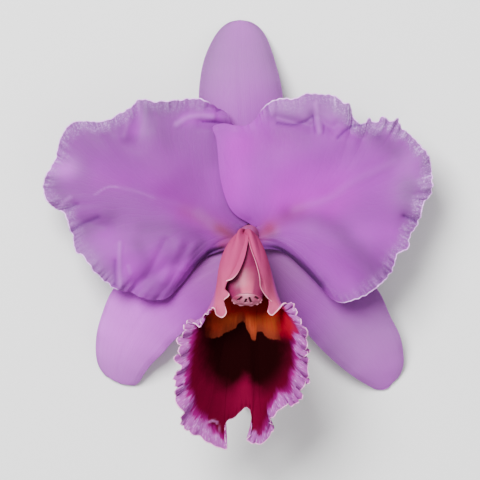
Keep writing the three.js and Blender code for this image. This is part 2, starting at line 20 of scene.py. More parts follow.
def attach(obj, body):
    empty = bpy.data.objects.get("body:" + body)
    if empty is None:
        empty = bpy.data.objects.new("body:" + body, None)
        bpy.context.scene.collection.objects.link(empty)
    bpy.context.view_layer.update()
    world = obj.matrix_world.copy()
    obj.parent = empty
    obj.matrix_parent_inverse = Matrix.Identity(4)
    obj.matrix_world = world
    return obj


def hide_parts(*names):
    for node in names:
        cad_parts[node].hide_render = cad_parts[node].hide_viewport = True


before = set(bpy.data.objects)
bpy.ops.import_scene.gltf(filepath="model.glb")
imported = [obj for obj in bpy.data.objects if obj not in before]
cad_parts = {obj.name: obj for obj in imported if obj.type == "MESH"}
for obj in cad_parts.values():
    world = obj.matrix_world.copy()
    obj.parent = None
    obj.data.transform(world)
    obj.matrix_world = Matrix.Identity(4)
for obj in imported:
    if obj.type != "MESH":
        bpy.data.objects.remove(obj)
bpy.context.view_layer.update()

Array = np.ndarray
Point = tuple[float, ...]
Ramp = tuple[float, float]  # two numbers: from and to, or a base and a gain
Colour = tuple[float, float, float]
Material = bpy.types.Material
Node = bpy.types.Node
Socket = bpy.types.NodeSocket

log = logging.getLogger("bloom")

# ------ driving sizes, millimetres

MM = 0.001
BODY = "root"

BLOOM_HEIGHT = 22.0  # middle of the flower above the surface that it lies on
OUTLINE_MIDDLE = (-4.1, 1.0)  # middle of the outline, seen from above
HUB = (0.0, 0.5)  # the column stands here, and the petals clasp it
TINY = 1e-9  # stands in for a length of nothing
STEPS_TO_MEASURE = 40  # from one point of a curve to the next
STEPS_OF_A_CREASE = 8

# Driving numbers of the finishes that every material shares.
VEIN_DRIFT_SCALE = 0.16
VEIN_ORDERS = ((1.0, 0.62, 1.0), (3.0, 0.5, 0.45))  # how many, how thin and how strong
SPARKLE_RARITY = 3.0
RIM_BREAKS = 0.9
RIM_BREADTH = (0.4, 1.2)
RIM_FADE = (1.0, 0.4)
THINNEST = 0.002
COAT_ROUGHNESS = 0.25


class Slot(Enum):
    """The names of the material slots of the pieces' finishes."""

    SEPAL = "sepal"
    PETAL = "petal"
    LIP = "lip"
    COLUMN = "column"
    ANTHER_CAP = "anther_cap"
    POLLINIA = "pollinia"
    STALK = "stalk"


# ------ curves and shares


class Band(NamedTuple):
    """Four places at which a share starts, is full, fades and ends."""

    starts: float
    full: float
    fades: float
    ends: float


class Fold(NamedTuple):
    """A soft fold between two points, with its width and its height."""

    x1: float
    y1: float
    x2: float
    y2: float
    width: float
    height: float


class Crease(NamedTuple):
    """A narrow line along a few points.

    tone is painted highlight (above 0) or painted shade (below 0), and height how far it stands
    out.
    """

    tone: float
    width: float
    height: float
    points: tuple[Point, ...]


def smooth(x: Array, low: float, high: float) -> Array:
    """A share that rises smoothly from 0 at low to 1 at high."""
    t = np.clip((np.asarray(x, float) - low) / (high - low), 0, 1)
    return t * t * (3 - 2 * t)


def within(x: Array, band: Band) -> Array:
    """A share that rises from 0 to 1 and falls back to 0 over a band."""
    return smooth(x, band.starts, band.full) * (1 - smooth(x, band.fades, band.ends))


def bell(away: Array, width: float) -> Array:
    """A share that is 1 at no distance and falls off softly over a width."""
    return np.exp(-((away / width) ** 2))


def mix(a: Array, b: Array, t: Array) -> Array:
    """The value a share t of the way from a to b."""
    return a + (b - a) * t


def follow(x: Array, points: Sequence[Point]) -> Array:
    """The value at each x of a line through given points, each an x and its value."""
    return np.interp(x, *np.array(points).T)


def crowded(steps: int, crowding: float) -> Array:
    """Shares from 0 to 1 in a number of steps that grow shorter."""
    return 1 - (1 - np.linspace(0, 1, steps + 1)) ** crowding


def waver(x: Array, waves: float, seed: int, parts: int = 5) -> Array:
    """A smooth, irregular value between about -1 and 1.

    Args:
        x: where it is wanted, from 0 to 1.
        waves: about how many waves it has from 0 to 1.
        seed: which irregular value it is.
        parts: how many sines it is made of.

    Returns:
        One value for each x.
    """
    draw = np.random.default_rng(seed)
    rates = waves * draw.uniform(0.6, 1.5, parts)
    starts = draw.uniform(0, 2 * math.pi, parts)
    total = sum(np.sin(2 * math.pi * rate * x + start) for rate, start in zip(rates, starts))
    return total / math.sqrt(parts)


def around(sides: int) -> Array:
    """Angles evenly spaced once round, in radians."""
    return np.arange(sides) * 2 * math.pi / sides


def on_circle(turn: Array) -> Array:
    """The points at given angles of a circle whose radius is 1."""
    return np.stack([np.cos(turn), np.sin(turn)], -1)


def unit(vectors: Array) -> Array:
    """The same directions, each with a length of 1."""
    return vectors / np.maximum(np.linalg.norm(vectors, axis=-1, keepdims=True), TINY)


def sideways(run: Array) -> Array:
    """The direction to the right of each way along a line, seen from above."""
    return unit(np.stack([run[:, 1], -run[:, 0]], -1))


def run_along(points: Array) -> Array:
    """The distance along a line of points, at each of them."""
    return np.append(0, np.cumsum(np.linalg.norm(np.diff(points, axis=0), axis=1)))


def spline(points: Sequence[Point] | Array, per_span: int) -> Array:
    """Points along a centripetal Catmull-Rom curve through the given ones.

    Args:
        points: the points that it passes through.
        per_span: how many steps it has from one to the next.

    Returns:
        The points, the last one included.
    """
    through = np.asarray(points, float)
    ends = 2 * through[0] - through[1], 2 * through[-1] - through[-2]
    through = np.vstack([ends[0], through, ends[1]])
    knots = np.append(0, np.cumsum(np.linalg.norm(np.diff(through, axis=0), axis=1) ** 0.5))
    spans = []
    for i in range(1, len(through) - 2):
        p, k = through[i - 1:i + 3], knots[i - 1:i + 3]
        t = np.linspace(k[1], k[2], per_span, endpoint=False)[:, None]
        first = [mix(p[j], p[j + 1], (t - k[j]) / (k[j + 1] - k[j])) for j in range(3)]
        second = [mix(first[j], first[j + 1], (t - k[j]) / (k[j + 2] - k[j])) for j in range(2)]
        spans.append(mix(second[0], second[1], (t - k[1]) / (k[2] - k[1])))
    return np.vstack([*spans, through[-2:-1]])


def at_shares(points: Sequence[Point] | Array, shares: Array) -> Array:
    """Points along the smooth curve through given ones.

    Args:
        points: the points that it passes through.
        shares: the shares of its length at which points are wanted.

    Returns:
        One point for each share.
    """
    dense = spline(points, STEPS_TO_MEASURE)
    run = run_along(dense)
    return np.stack([np.interp(shares * run[-1], run, values) for values in dense.T], -1)


def spaced(points: Sequence[Point] | Array, count: int) -> Array:
    """count + 1 points spaced evenly along the smooth curve through the given ones."""
    return at_shares(points, np.linspace(0, 1, count + 1))


def distance_to_line(x: Array, y: Array, points: Sequence[Point]) -> Array:
    """The shortest distance in the plane from each place to a line.

    Args:
        x: the places' x.
        y: their y.
        points: the line's points.

    Returns:
        One distance for each place.
    """
    nearest = np.full(x.shape, np.inf)
    for (x1, y1), (x2, y2) in zip(points[:-1], points[1:]):
        along = ((x - x1) * (x2 - x1) + (y - y1) * (y2 - y1)) / ((x2 - x1) ** 2 + (y2 - y1) ** 2)
        t = np.clip(along, 0, 1)
        nearest = np.minimum(nearest, np.hypot(x - mix(x1, x2, t), y - mix(y1, y2, t)))
    return nearest


def distance_to_points(grid: Array, line: Array) -> Array:
    """The distance from each place of a grid to the nearest of a line's points, row by row."""
    return np.stack([
        np.sqrt(((row[:, None, :] - line[None]) ** 2).sum(-1).min(1)) for row in grid
    ])


def relief(folds: Sequence[Fold], x: Array, y: Array) -> Array:
    """The height that soft folds add.

    Args:
        folds: the folds.
        x: the places' x.
        y: their y.

    Returns:
        One height for each place.
    """
    total = np.zeros(x.shape)
    for fold in folds:
        away = distance_to_line(x, y, ((fold.x1, fold.y1), (fold.x2, fold.y2)))
        total += fold.height * bell(away, fold.width)
    return total


def creased(creases: Sequence[Crease], x: Array, y: Array) -> tuple[Array, Array]:
    """What narrow creases add.

    Args:
        creases: the creases.
        x: the places' x.
        y: their y.

    Returns:
        The height and the tone at each place.
    """
    height = np.zeros(x.shape)
    tone = np.zeros(x.shape)
    for crease in creases:
        share = bell(distance_to_line(x, y, spline(crease.points, STEPS_OF_A_CREASE)), crease.width)
        height += crease.height * share
        tone += crease.tone * share
    return height, tone


# ------ meshes


def placed(points: Array) -> Array:
    """The bloom's millimetres as the row's metres, nothing below the surface it lies on."""
    lowest = np.array([-np.inf, -np.inf, -BLOOM_HEIGHT])
    shift = np.array([-OUTLINE_MIDDLE[0], -OUTLINE_MIDDLE[1], BLOOM_HEIGHT])
    return (np.maximum(points, lowest) + shift) * MM


def in_scene(name: str, data: bpy.types.ID) -> bpy.types.Object:
    """A new object in the scene, at the origin, that shows given data."""
    thing = bpy.data.objects.new(name, data)
    bpy.context.scene.collection.objects.link(thing)
    return thing


def outward(vertices: Array, faces: Array) -> Array:
    """The faces of a closed solid, turned so that they point out of it.

    Args:
        vertices: its vertices.
        faces: its four-sided faces, which all point in or all point out.

    Returns:
        The same faces, turned round if they pointed in.
    """
    a, b, c, d = (vertices[faces[:, k]] for k in range(4))
    volume = (np.cross(b, c) * a).sum() + (np.cross(c, d) * a).sum()
    return faces if volume > 0 else faces[:, ::-1]


def mesh_object(
    name: str,
    vertices: Array,
    faces: Array,
    fields: dict[str, Array],
    materials: Sequence[Material],
    finish_of_face: Array | None = None,
) -> bpy.types.Object:
    """A closed, smooth mesh in the scene.

    Args:
        name: the piece's name.
        vertices: its vertices, in the bloom's millimetres.
        faces: its four-sided faces.
        fields: values for each vertex, by name, that its materials read.
        materials: its materials.
        finish_of_face: which of them each face has, if there are several.

    Returns:
        The object, at the origin.
    """
    data = bpy.data.meshes.new(name)
    data.from_pydata(placed(vertices).tolist(), [], outward(vertices, faces).tolist())
    for field_name, values in fields.items():
        attribute = data.attributes.new(field_name, "FLOAT", "POINT")
        attribute.data.foreach_set("value", np.asarray(values, np.float32).ravel())
    for material in materials:
        data.materials.append(material)
    if finish_of_face is not None:
        data.polygons.foreach_set("material_index", finish_of_face.astype(np.int32))
    data.polygons.foreach_set("use_smooth", np.ones(len(faces), bool))
    data.update()
    return in_scene(name, data)


@dataclass
class Sheet:
    """A thin blade of living tissue round a grid of middle points.

    middle holds the points, rows first; thickness the blade's thickness at each; and fields what
    its materials read, by name, with a value at each.
    """

    middle: Array
    thickness: Array
    fields: dict[str, Array]

    def normals(self) -> Array:
        """The direction of the face that looks at the viewer, at each point."""
        normal = unit(np.cross(np.gradient(self.middle, axis=1), np.gradient(self.middle, axis=0)))
        rows, columns = normal.shape[:2]
        faces_viewer = normal[rows * 3 // 4, columns // 2, 2] > 0
        return normal if faces_viewer else -normal

    def edge(self) -> tuple[Array, Array]:
        """The grid's outline.

        Returns:
            Its outer points in order, by number, and the way out of the blade at each.
        """
        rows, columns = self.middle.shape[:2]
        index = np.arange(rows * columns).reshape(rows, columns)
        across = np.gradient(self.middle, axis=1)
        along = np.gradient(self.middle, axis=0)
        out = np.zeros_like(self.middle)
        out[0] -= along[0]
        out[-1] += along[-1]
        out[:, 0] -= across[:, 0]
        out[:, -1] += across[:, -1]
        loop = np.concatenate([index[0, :-1], index[:-1, -1], index[-1, :0:-1], index[:0:-1, 0]])
        return loop, unit(out.reshape(-1, 3)[loop])

    def build(
        self, name: str, front: Material, back: Material
    ) -> bpy.types.Object:
        """The blade as a closed mesh with a rounded edge.

        Args:
            name: the piece's name.
            front: the finish of the face that looks at the viewer.
            back: the finish of the other face and of the edge.

        Returns:
            The object.
        """
        rows, columns = self.middle.shape[:2]
        count = rows * columns
        half = self.normals() * self.thickness[..., None] / 2
        loop, way = self.edge()
        rim = self.middle.reshape(-1, 3)[loop] + way * self.thickness.reshape(-1, 1)[loop] / 2
        sides = [(self.middle + half).reshape(-1, 3), (self.middle - half).reshape(-1, 3)]
        index = np.arange(count).reshape(rows, columns)
        corners = [index[:-1, :-1], index[:-1, 1:], index[1:, 1:], index[1:, :-1]]
        front_faces = np.stack(corners, -1).reshape(-1, 4)
        following = np.roll(loop, -1)
        edge = 2 * count + np.arange(len(loop))
        next_edge = np.roll(edge, -1)
        faces = np.vstack([
            front_faces, front_faces[:, ::-1] + count,
            np.stack([following, loop, edge, next_edge], -1),
            np.stack([loop + count, following + count, next_edge, edge], -1),
        ])
        finish = (np.arange(len(faces)) >= len(front_faces)).astype(int)
        fields = {}
        for key, value in self.fields.items():
            plain = np.broadcast_to(value, (rows, columns)).ravel()
            fields[key] = np.concatenate([plain, plain, plain[loop]])
        return mesh_object(name, np.vstack([*sides, rim]), faces, fields, [front, back], finish)


@dataclass
class Loft:
    """A solid through closed rings of points, rings first, each end closed by its middle."""

    rings: Array
    fields: dict[str, Array]

    def build(self, name: str, material: Material) -> bpy.types.Object:
        """The loft as a closed mesh.

        Args:
            name: the piece's name.
            material: its finish.

        Returns:
            The object.
        """
        count, sides = self.rings.shape[:2]
        middles = self.rings[[0, -1]].mean(1)
        index = np.arange(count * sides).reshape(count, sides)
        following = np.roll(index, -1, axis=1)
        walls = np.stack([index[:-1], following[:-1], following[1:], index[1:]], -1).reshape(-1, 4)
        first, last = (np.full(sides, count * sides + end) for end in range(2))
        faces = np.vstack([
            walls, np.stack([following[0], index[0], first, first], -1),
            np.stack([index[-1], following[-1], last, last], -1),
        ])
        fields = {}
        for key, value in self.fields.items():
            whole = np.broadcast_to(value, (count, sides))
            fields[key] = np.concatenate([whole.ravel(), whole[[0, -1]].mean(1)])
        vertices = np.vstack([self.rings.reshape(-1, 3), middles])
        thing = mesh_object(name, vertices, faces, fields, [material])
        thing.data.validate()
        return thing


def keep(thing: bpy.types.Object, slot: Slot, *nodes: str) -> None:
    """Says what a finished piece rides on and which solids it replaces.

    Args:
        thing: the piece.
        slot: the material slot of its finish; not used.
        *nodes: the solids that it replaces, if any.
    """
    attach(thing, BODY)
    if nodes:
        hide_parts(*nodes)
    log.info("%s: %d faces, replaces %s", thing.name, len(thing.data.polygons), nodes or "none")


# ------ finishes: nodes


class Effect(Enum):
    """The node groups that several finishes share."""

    VEINS = "veins"
    CRYSTALS = "crystals"
    MOTTLE = "mottle"
    RIM = "rim"


class Mottle(NamedTuple):
    """Soft patches: their size, how marked they are and how far they lighten a colour."""

    size: float
    contrast: float
    spread: float = 0.0


class Grain(NamedTuple):
    """Streaks: how fine they are along a margin and across it, and their detail."""

    along: float
    across: float
    detail: float


class Wire:
    """What a node puts out; arithmetic with it adds the nodes that work the result out."""

    def __init__(self, nodes: "Nodes", socket: Socket) -> None:
        """Holds the socket and the builder of its tree."""
        self.nodes = nodes
        self.socket = socket

    def __add__(self, other: "Value") -> "Wire":
        """The sum."""
        return self.nodes.work_out("ADD", self, other)

    def __sub__(self, other: "Value") -> "Wire":
        """The difference."""
        return self.nodes.work_out("SUBTRACT", self, other)

    def __rsub__(self, other: float) -> "Wire":
        """What is left of a plain number."""
        return self.nodes.work_out("SUBTRACT", other, self)

    def __mul__(self, other: "Value") -> "Wire":
        """The product."""
        return self.nodes.work_out("MULTIPLY", self, other)

    def __truediv__(self, other: "Value") -> "Wire":
        """The ratio."""
        return self.nodes.work_out("DIVIDE", self, other)

    def __rtruediv__(self, other: float) -> "Wire":
        """The ratio of a plain number to it."""
        return self.nodes.work_out("DIVIDE", other, self)

    def __abs__(self) -> "Wire":
        """The value without its sign."""
        return self.nodes.work_out("ABSOLUTE", self)

    def at_least(self, other: "Value") -> "Wire":
        """The larger of the two."""
        return self.nodes.work_out("MAXIMUM", self, other)

    def ease(self, low: "Value", high: "Value") -> "Wire":
        """A share that rises smoothly from 0 at low to 1 at high; low may be the larger."""
        inputs = {"Value": self, "From Min": low, "From Max": high}
        return self.nodes.first("MapRange", inputs, interpolation_type="SMOOTHSTEP")


Value = Wire | float
Shade = Wire | Colour


class Nodes:
    """Adds nodes to one tree, and links what it is given or sets it as a plain value."""

    def __init__(self, tree: bpy.types.NodeTree) -> None:
        """Starts on a tree, which may have nodes already."""
        self.tree = tree

    def add(
        self, kind: str, inputs: dict[str | int, object] | None = None, **settings: object
    ) -> Node:
        """A new node.

        Args:
            kind: its whole type.
            inputs: what its sockets get, by their names or numbers.
            **settings: its own settings.

        Returns:
            The node.
        """
        node = self.tree.nodes.new(kind)
        for name, value in settings.items():
            setattr(node, name, value)
        for key, value in (inputs or {}).items():
            self.feed(node.inputs[key], value)
        return node

    def feed(self, socket: Socket, value: object) -> None:
        """Links a wire or a node's first output into a socket, or sets a plain value on it.

        Args:
            socket: the socket that gets it.
            value: the wire, the node or the plain value.
        """
        if isinstance(value, Node):
            value = Wire(self, value.outputs[0])
        if isinstance(value, Wire):
            self.tree.links.new(value.socket, socket)
        elif socket.type == "RGBA" and len(value) == 3:
            socket.default_value = (*value, 1)
        else:
            socket.default_value = value

    def first(self, kind: str, inputs: dict[str | int, object], **settings: object) -> Wire:
        """What a new shader node puts out first."""
        return Wire(self, self.add("ShaderNode" + kind, inputs, **settings).outputs[0])

    def work_out(self, operation: str, *values: Value, clamp: bool = False) -> Wire:
        """One step of arithmetic."""
        inputs = dict(enumerate(values))
        return self.first("Math", inputs, operation=operation, use_clamp=clamp)

    def blend(self, share: Value, first: Shade, second: Shade, mode: str = "MIX") -> Wire:
        """The colour a share of the way from one to another.

        Args:
            share: the share, which is held between 0 and 1.
            first: the colour that it starts from.
            second: the colour that it reaches.
            mode: how the second is laid over the first.

        Returns:
            The colour.
        """
        node = self.add("ShaderNodeMix", data_type="RGBA", blend_type=mode, clamp_factor=True)
        for number, value in ((0, share), (6, first), (7, second)):
            self.feed(node.inputs[number], value)
        return Wire(self, node.outputs[2])

    def layered(self, colour: Shade, *layers: tuple[Value, Shade]) -> Wire:
        """A colour under layers, each a share and the colour that it brings."""
        for share, over in layers:
            colour = self.blend(share, colour, over)
        return colour

    def tinted(self, colour: Shade, red: Value, green: Value, blue: Value) -> Wire:
        """The colour with its three parts multiplied."""
        return self.blend(1.0, colour, self.vector(red, green, blue), "MULTIPLY")

    def field(self, name: str) -> Wire:
        """A value that the mesh carries."""
        return Wire(self, self.add("ShaderNodeAttribute", attribute_name=name).outputs["Fac"])

    def place(self) -> Wire:
        """Where a point is, in the bloom's millimetres."""
        here = Wire(self, self.add("ShaderNodeTexCoord").outputs["Object"])
        location = (*OUTLINE_MIDDLE, -BLOOM_HEIGHT)
        return self.first("Mapping", {"Vector": here, "Location": location,
                                      "Scale": (1 / MM,) * 3})

    def parts(self, vector: Wire) -> tuple[Wire, ...]:
        """The three numbers of a vector."""
        node = self.add("ShaderNodeSeparateXYZ", {0: vector})
        return tuple(Wire(self, socket) for socket in node.outputs)

    def vector(self, x: Value, y: Value, z: Value = 0.0) -> Wire:
        """A vector of three numbers."""
        return self.first("CombineXYZ", {0: x, 1: y, 2: z})

    def noise(self, vector: Wire, scale: Value, detail: float = 2.0) -> Wire:
        """Soft noise between 0 and 1."""
        inputs = {"Vector": vector, "Scale": scale, "Detail": detail}
        return Wire(self, self.add("ShaderNodeTexNoise", inputs).outputs["Fac"])

    def wander(self, place: Wire, scale: float, reach: Value, detail: float = 2.0) -> Wire:
        """Soft noise, half of it below 0, that reaches this far in all."""
        return (self.noise(place, scale, detail) - 0.5) * reach

    def streaks(self, along: Wire, across: Wire, grain: Grain) -> Wire:
        """Noise drawn out into streaks, between 0 and 1."""
        vector = self.vector(along * grain.along, across * grain.across)
        return self.noise(vector, 1.0, grain.detail)

    def scaled(self, value: Wire, line: Ramp) -> Wire:
        """A base, and a value times a gain on top of it."""
        return value * line[1] + line[0]

    def patches(self, place: Wire, mottle: Mottle) -> Wire:
        """Soft patches, each between 0 and 1."""
        return self.effect(Effect.MOTTLE, place, Size=mottle.size, Contrast=mottle.contrast)[0]

    def lightness(self, place: Wire, mottle: Mottle) -> Wire:
        """A factor near 1 that soft patches raise and lower."""
        return self.patches(place, mottle) * mottle.spread + (1 - mottle.spread / 2)

    def patched(self, colour: Shade, place: Wire, mottle: Mottle) -> Wire:
        """The colour, paler and darker in soft patches."""
        return self.tinted(colour, *[self.lightness(place, mottle)] * 3)

    def through(self, x: Wire, points: Sequence[Point]) -> Wire:
        """A value that follows given points.

        Args:
            x: the place at which it is wanted.
            points: the points, each a place and its value.

        Returns:
            The value.
        """
        places, values = zip(*points)
        low, high = min(places), max(places)
        least, most = min(values), max(values)
        spots = [((place - low) / (high - low), (value - least) / (most - least))
                 for place, value in points]
        share = self.first("MapRange", {"Value": x, "From Min": low, "From Max": high})
        node = self.add("ShaderNodeFloatCurve", {"Value": share})
        curve = node.mapping.curves[0]
        curve.points[0].location = spots[0]
        curve.points[-1].location = spots[-1]
        for spot in spots[1:-1]:
            curve.points.new(*spot).handle_type = "AUTO_CLAMPED"
        node.mapping.update()
        return self.first("MapRange", {"Value": node, "To Min": least, "To Max": most})

    def effect(self, effect: Effect, place: Wire | None = None, **values: Value) -> list[Wire]:
        """A shared effect, placed in this tree.

        Args:
            effect: which effect it is.
            place: the place in the bloom, for the effects that read it.
            **values: the values of its other inputs, by name.

        Returns:
            What it puts out.
        """
        inputs = values if place is None else {"Place": place, **values}
        group = bpy.data.node_groups[effect.value]
        node = self.add("ShaderNodeGroup", node_tree=group)
        for name, value in inputs.items():
            self.feed(node.inputs[name], value)
        return [Wire(self, socket) for socket in node.outputs]

    def bump(self, height: Wire, strength: float) -> Wire:
        """The normal that a height in millimetres gives."""
        inputs = {"Distance": MM, "Strength": strength, "Height": height}
        return self.first("Bump", inputs)


def build_effect(
    effect: Effect, inputs: Sequence[str], work: Callable[..., dict[str, Wire]]
) -> None:
    """Builds a shared effect once, as a shader node group.

    Args:
        effect: which effect it is.
        inputs: its inputs' names; Place is a vector, and the others are numbers.
        work: works its outputs out, by name, from a builder of nodes and its inputs in order.
    """
    tree = bpy.data.node_groups.new(effect.value, "ShaderNodeTree")
    for name in inputs:
        kind = "NodeSocketVector" if name == "Place" else "NodeSocketFloat"
        tree.interface.new_socket(name, in_out="INPUT", socket_type=kind)
    nodes = Nodes(tree)
    source = tree.nodes.new("NodeGroupInput")
    outputs = work(nodes, *(Wire(nodes, source.outputs[name]) for name in inputs))
    for name in outputs:
        tree.interface.new_socket(name, in_out="OUTPUT", socket_type="NodeSocketFloat")
    result = tree.nodes.new("NodeGroupOutput")
    for name, value in outputs.items():
        nodes.feed(result.inputs[name], value)


def veins(nodes: Nodes, across: Wire, place: Wire, count: Wire, wander: Wire) -> dict[str, Wire]:
    """Lines that repeat across a blade, wander a little and have finer ones between them.

    Args:
        nodes: the builder of the group's nodes.
        across: the place across the blade.
        place: the place in the bloom.
        count: how many lines there are.
        wander: how far they wander.

    Returns:
        The share of a line at each place.
    """
    drift = nodes.wander(place, VEIN_DRIFT_SCALE, wander)
    lines = []
    for finer, thin, strength in VEIN_ORDERS:
        turn = across * count * finer + drift
        near = nodes.work_out("PINGPONG", turn, 0.5) * 2.0
        lines.append(near.ease(thin, 1.0) * strength)
    return {"Line": lines[0].at_least(lines[1])}


def crystals(nodes: Nodes, place: Wire, size: Wire) -> dict[str, Wire]:
    """The small swollen cells that make living petals glitter.

    Args:
        nodes: the builder of the group's nodes.
        place: the place in the bloom.
        size: the cells' size.

    Returns:
        How much each cell sparkles, and how high it stands.
    """
    inputs = {"Vector": place, "Scale": 1.0 / size}
    cells = nodes.add("ShaderNodeTexVoronoi", inputs, feature="F1")
    chance = nodes.first("SeparateColor", {0: Wire(nodes, cells.outputs["Color"])})
    away = Wire(nodes, cells.outputs["Distance"])
    sparkle = nodes.work_out("POWER", chance, SPARKLE_RARITY)
    return {"Sparkle": sparkle, "Height": (1.0 - away) * size}


def mottle(nodes: Nodes, place: Wire, size: Wire, contrast: Wire) -> dict[str, Wire]:
    """Broad, soft patches that are a little paler or darker.

    Args:
        nodes: the builder of the group's nodes.
        place: the place in the bloom.
        size: the patches' size.
        contrast: how marked they are.

    Returns:
        How pale each place is, from 0 to 1.
    """
    spread = (nodes.noise(place, 1.0 / size, 4.0) - 0.5) * contrast
    return {"Value": nodes.work_out("ADD", spread, 0.5, clamp=True)}


def rim(nodes: Nodes, edge: Wire, flow: Wire, width: Wire) -> dict[str, Wire]:
    """A thin, slightly broken line along a free margin.

    Args:
        nodes: the builder of the group's nodes.
        edge: the distance from the margin.
        flow: the place along it.
        width: the line's width.

    Returns:
        The share of the line at each place.
    """
    wide = nodes.scaled(nodes.noise(nodes.vector(flow, 0.0), RIM_BREAKS), RIM_BREADTH) * width
    return {"Mask": (edge / wide.at_least(THINNEST)).ease(*RIM_FADE)}


def build_effects() -> None:
    """Builds each shared effect once."""
    build_effect(Effect.VEINS, ("Across", "Place", "Count", "Wander"), veins)
    build_effect(Effect.CRYSTALS, ("Place", "Size"), crystals)
    build_effect(Effect.MOTTLE, ("Place", "Size", "Contrast"), mottle)
    build_effect(Effect.RIM, ("Edge", "Flow", "Width"), rim)


class Surface(NamedTuple):
    """What stays the same all over a finish, set on the shader itself."""

    roughness: float
    specular: float
    subsurface: float
    glow: Colour
    coat: float = 0.0


def make_material(name: str) -> tuple[Material, Nodes]:
    """An empty material and the builder of its nodes."""
    material = bpy.data.materials.new(name)
    material.use_nodes = True
    material.node_tree.nodes.clear()
    return material, Nodes(material.node_tree)


def shade(
    nodes: Nodes, surface: Surface, colour: Wire, normal: Wire, roughness: Wire | None = None
) -> None:
    """Ends a material's nodes in a shader.

    Args:
        nodes: the builder of the material's nodes.
        surface: what is the same all over.
        colour: the colour at each place.
        normal: the normal at each place.
        roughness: the roughness at each place, if it changes.
    """
    shader = nodes.add("ShaderNodeBsdfPrincipled", {
        "Base Color": colour,
        "Normal": normal,
        "Roughness": surface.roughness if roughness is None else roughness,
        "Specular IOR Level": surface.specular,
        "Subsurface Weight": surface.subsurface,
        "Subsurface Radius": surface.glow,
        "Subsurface Scale": MM,
        "Coat Weight": surface.coat,
        "Coat Roughness": COAT_ROUGHNESS,
    })
    nodes.add("ShaderNodeOutputMaterial", {"Surface": shader})


# ------ finishes: the bloom's own


@dataclass(frozen=True)
class BladeFinish:
    """Petals and sepals: lilac, deeper where they are flushed, with a paler crystalline margin."""

    name: str
    colour: Colour
    flushed: Colour
    claw: Colour
    pale: Colour
    grey: Colour
    frost: Colour
    rim: Colour
    rim_width: float
    vein_count: float
    vein_wander: float
    vein_depth: float
    margin_width: float
    vein_share: float = 0.06
    patches: Mottle = Mottle(9.0, 0.9, 0.12)
    # How far painted shade darkens the colour, and how its green part changes under painted shade
    # and painted light.
    painted_shade_darkening: float = 0.5
    green_starts: Ramp = (1.02, 0.32)
    green_ends: float = 0.33
    cell_size: float = 0.5
    cell_height: Ramp = (0.05, 0.16)
    # How strongly the sparkling cells are painted as pale glints on the margin.
    painted_glint_share: Ramp = (0.1, 1.2)
    sparkle_gloss: float = 0.12
    margin_bays: float = 0.12
    margin_reach: Ramp = (0.1, 2.0)
    margin_fade: Ramp = (1.25, 0.35)
    grey_share: float = 0.75
    frost_share: float = 0.4
    streak_wander: Ramp = (0.35, 1.2)
    streak_grain: Grain = Grain(1.05, 0.16, 3.0)
    streaked: Ramp = (0.5, 0.74)
    streak_fade: Ramp = (1.0, 0.1)
    streak_share: float = 0.8
    streak_height: float = 0.22
    # The tint of the painted shade along dark creases.
    crease_shade_tint: Colour = (0.3, 0.2, 0.42)
    bump_strength: float = 0.8
    surface: Surface = Surface(0.58, 0.08, 0.12, (1.6, 0.5, 1.4))

    def material(self) -> Material:
        """The finish as a material."""
        material, nodes = make_material(self.name)
        place = nodes.place()
        edge, flow, frosted, tone = map(nodes.field, ("edge", "flow", "frost", "tone"))
        colour = nodes.layered(
            self.colour, (nodes.field("flush"), self.flushed), (nodes.field("fade"), self.pale),
            (nodes.field("claw"), self.claw),
        )
        # Painted shade and painted light from the blade's shade field.
        colour = self.with_painted_shade(nodes, colour, nodes.lightness(place, self.patches))
        line, = nodes.effect(Effect.VEINS, place, Across=nodes.field("across"),
                             Count=self.vein_count, Wander=self.vein_wander)
        sparkle, cells = nodes.effect(Effect.CRYSTALS, place, Size=self.cell_size)

        # The margin is greyed in bays; streaks and painted glints on sparkling cells run in from
        # it.
        bays = nodes.scaled(nodes.noise(nodes.vector(flow * self.margin_bays, 3.0), 1.0),
                            self.margin_reach)
        inwards = edge / (bays * self.margin_width)
        margin = inwards.ease(*self.margin_fade) * frosted
        scale, reach = self.streak_wander
        streak = nodes.streaks(nodes.noise(place, scale) * reach + flow, edge, self.streak_grain)
        streak = streak.ease(*self.streaked) * inwards.ease(*self.streak_fade) * frosted
        painted_glint = margin * nodes.scaled(sparkle, self.painted_glint_share) * self.frost_share
        rim, = nodes.effect(Effect.RIM, Edge=edge, Flow=flow, Width=self.rim_width)
        colour = nodes.layered(
            colour, (line * self.vein_share, self.flushed), (margin * self.grey_share, self.grey),
            (streak * self.streak_share + painted_glint, self.frost),
            (rim * nodes.field("rimmed"), self.rim),
        )
        # Painted shade along the dark creases and painted highlight along the pale ones.
        colour = nodes.layered(
            colour, (tone * -1.0, nodes.tinted(colour, *self.crease_shade_tint)), (tone, self.pale),
        )
        height = cells * nodes.scaled(margin, self.cell_height) + streak * self.streak_height
        normal = nodes.bump(height - line * self.vein_depth, self.bump_strength)
        shade(nodes, self.surface, colour, normal,
              self.surface.roughness - sparkle * self.sparkle_gloss)
        return material

    def with_painted_shade(self, nodes: Nodes, colour: Wire, lighter: Wire) -> Wire:
        """The colour under painted shade and light; light shade dulls it, strong shade purples it.

        Args:
            nodes: the builder of the material's nodes.
            colour: the colour before.
            lighter: the factor of its soft patches.

        Returns:
            The colour after.
        """
        painted_shade = nodes.field("shade")
        darker = lighter * (1.0 - painted_shade * self.painted_shade_darkening)
        green = nodes.scaled(painted_shade.at_least(0.0), self.green_starts) - painted_shade * painted_shade * self.green_ends
        return nodes.tinted(colour, darker, lighter * green, darker)


